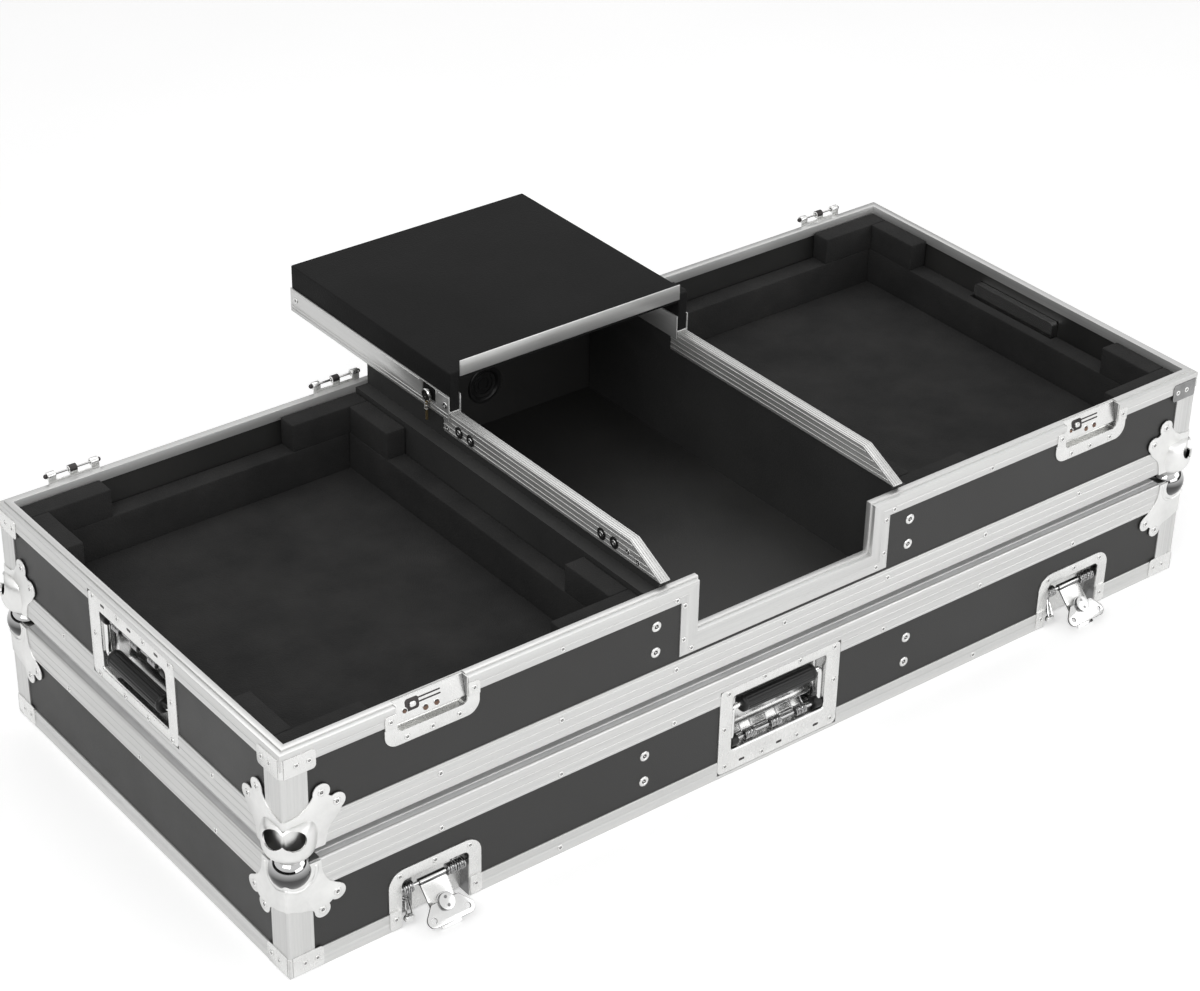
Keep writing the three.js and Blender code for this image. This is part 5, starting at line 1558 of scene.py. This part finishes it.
for sx in (-1, 1):
    for dx, z in [(-40, 62), (0, 63.5), (40, 62)]:
        rivet("lid", (sx * LATCH_X + dx, -HALF_DEPTH, z), FRONT)
    for dx in (-46, 46):
        rivet("lid", (sx * LATCH_X + dx, -HALF_DEPTH - 1.1, 14), FRONT, 0.95)
        rivet("base", (sx * KEEPER_X + dx, -HALF_DEPTH - 1.1, 243), FRONT, 0.95)
    for dx, z in [(-28, 219), (0, 219), (30, 219.5)]:
        rivet("base", (sx * KEEPER_X + dx, -HALF_DEPTH, z), FRONT)
    for y, z in [(98, 270), (-203, 274.5), (-219, 270)]:
        rivet("base", (sx * RAIL_OUTER, y, z), (sx, 0, 0), 0.95)
    for y in RAIL_SCREWS:
        rivet("base", (sx * RAIL_OUTER + sx * 0.7, y, RAIL_SCREW_HEIGHT), (sx, 0, 0), 0.95)
    for y in (100, 385):
        rivet("shelf", (sx * RUNNER_FACE, y, 297), (sx, 0, 0), 1.1)
corner_rivets("base", BASE_FOOT, 1, STACK_LOBES, 1.2, PLATE)
corner_rivets("lid", LID_TOP, -1, BALL_LOBES, 1.2, PLATE)
corner_rivets("base", 0, 1, [(16.5, 239.5), (30.0, 239.5)], 0.92, 1.0)
corner_rivets("lid", 0, 1, [(16.5, 13.0), (30.0, 13.0)], 0.92, 1.0)
for body, rows in rivet_rows.items():
    points = [p for p, _, _ in rows]
    mesh = grown(f"{body}_rivets", RIVETS, {"Radius": 3.5, "Finish": ZINC, "Pit": DARK_STEEL}, points,
                 {"facing": np.array([f for _, f, _ in rows], float),
                  "size": np.array([s for _, _, s in rows], float)})
    mesh.name = f"{body}_rivets"
    mesh.transform(Matrix.Scale(MM, 4) @ slide(0, MIDDLE_Y, 0))
    heads = object_of(mesh)
    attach(heads, body)
    print(body, "rivets:", len(rows), "faces:", len(mesh.polygons))

# %% [markdown]
# The rails are screwed to the partitions in pairs. Each screw sits in a black plastic cup washer.
# %% Washers under the rail screws
for side, name in SIDES:
    washer = skinned([ring(r, h, 24) for r, h in [(3.4, 0), (6.6, 0), (6.6, 0.5), (5.6, 1.0), (3.6, 0.9)]],
                     closed=True)
    washers = [moved(washer, spin(90 * side, "Y"), slide(side * RAIL_OUTER, y, RAIL_SCREW_HEIGHT))
               for y in RAIL_SCREWS]
    build(f"rail_washers_{name}", washers, PLASTIC, "base")

# %% [markdown]
# ## Studio
# A pale floor, a white surround and large soft lamps. The floor is painted white for the camera and
# for reflections by its own glow, through Light Path, so the background is white while the lamps
# stay at a level where a colour shows as it was written. Its diffuse part keeps the shadow that the
# case throws.
# %% Floor and surround
def seen_directly(tree):
    """1 for rays from the camera, from reflections and through glass, and 0 for all others."""
    path = tree.nodes.new("ShaderNodeLightPath")
    seen = add(tree, "ShaderNodeMath", {0: path.outputs["Is Camera Ray"], 1: path.outputs["Is Glossy Ray"]},
               operation="MAXIMUM")
    through = path.outputs["Is Transmission Ray"]
    return add(tree, "ShaderNodeMath", {0: seen.outputs[0], 1: through}, operation="MAXIMUM").outputs[0]


def pale_floor():
    material, tree, shader = finish_tree("studio_floor", 0.0, 0.9)
    grain = noise_of(tree, 3.0)
    tint = ramp_of(tree, grain, [(0.3, (0.80,) * 3), (0.7, (0.82,) * 3)])
    tree.links.new(tint, shader.inputs["Base Color"])
    glow = add(tree, "ShaderNodeMath", {0: seen_directly(tree), 1: 0.45}, operation="MULTIPLY")
    shader.inputs["Emission Color"].default_value = (1, 1, 1, 1)
    tree.links.new(glow.outputs[0], shader.inputs["Emission Strength"])
    return material


floor_mesh = bpy.data.meshes.new("floor")
floor_mesh.from_pydata([(-20, -20, 0), (20, -20, 0), (20, 20, 0), (-20, 20, 0)], [], [(0, 1, 2, 3)])
floor = object_of(floor_mesh, [pale_floor()])

world = bpy.data.worlds.new("surround")
bpy.context.scene.world = world
world.use_nodes = True
sky = world.node_tree
background = sky.nodes["Background"]
level = add(sky, "ShaderNodeMapRange", {"Value": seen_directly(sky), "To Min": 0.36, "To Max": 1.0})
sky.links.new(level.outputs["Result"], background.inputs["Strength"])
background.inputs["Color"].default_value = (1, 1, 1, 1)
print("surround ready")

# %% [markdown]
# Polished metal shows whatever stands round it, and in an all-white room it would look like paint.
# Photographers put up dark cloth for it. Here a low ring of cloth stands far out. It is seen only
# in reflections, so the picture's background stays white and the cloth throws no shadow.
# %% Dark cloth for the chrome
def dark_ring(radius, low, high, steps=48):
    cloth, tree, shader = finish_tree("dark_cloth", 0.0, 1.0)
    weave = noise_of(tree, 40.0)
    tree.links.new(ramp_of(tree, weave, [(0.3, (0.015,) * 3), (0.7, (0.025,) * 3)]),
                   shader.inputs["Base Color"])
    angles = np.arange(steps) * 2 * math.pi / steps
    points = [(radius * math.cos(a), radius * math.sin(a), z) for z in (low, high) for a in angles]
    mesh = bpy.data.meshes.new("cloth_ring")
    mesh.from_pydata(points, [],
                     [(k, (k + 1) % steps, steps + (k + 1) % steps, steps + k) for k in range(steps)])
    cloth_ring = object_of(mesh, [cloth])
    for ray in ("camera", "diffuse", "shadow", "transmission", "volume_scatter"):
        setattr(cloth_ring, "visible_" + ray, False)
    return cloth_ring


dark_ring(6.0, 0.25, 1.6)
print("dark cloth ready")

# %% [markdown]
# The main lamp is high on the camera's left, a low wide one stands in front, a weaker one fills from
# the right, and one overhead draws a bright line along the upper edges. All are wide, so no shadow
# has a hard edge.
# %% Lamps
def soft_lamp(name, place, height, size, power):
    """A wide lamp that looks at the case's middle at one height."""
    light = bpy.data.lights.new(name, "AREA")
    light.shape = "RECTANGLE"
    light.size, light.size_y = size
    light.energy = power
    lamp = bpy.data.objects.new(name, light)
    bpy.context.scene.collection.objects.link(lamp)
    lamp.location = place
    lamp.rotation_euler = (Vector((0, 0, height)) - Vector(place)).to_track_quat("-Z", "Y").to_euler()


soft_lamp("key", (-2.2, -1.6, 2.6), 0.2, (2.4, 1.8), 38)
soft_lamp("front", (0.8, -3.6, 0.9), 0.15, (3.2, 1.0), 26)
soft_lamp("fill", (2.6, -2.4, 1.6), 0.2, (2.0, 1.6), 16)
soft_lamp("top", (0.3, 0.6, 3.0), 0.2, (3.0, 2.0), 24)

view = bpy.context.scene.view_settings
view.view_transform = "Standard"
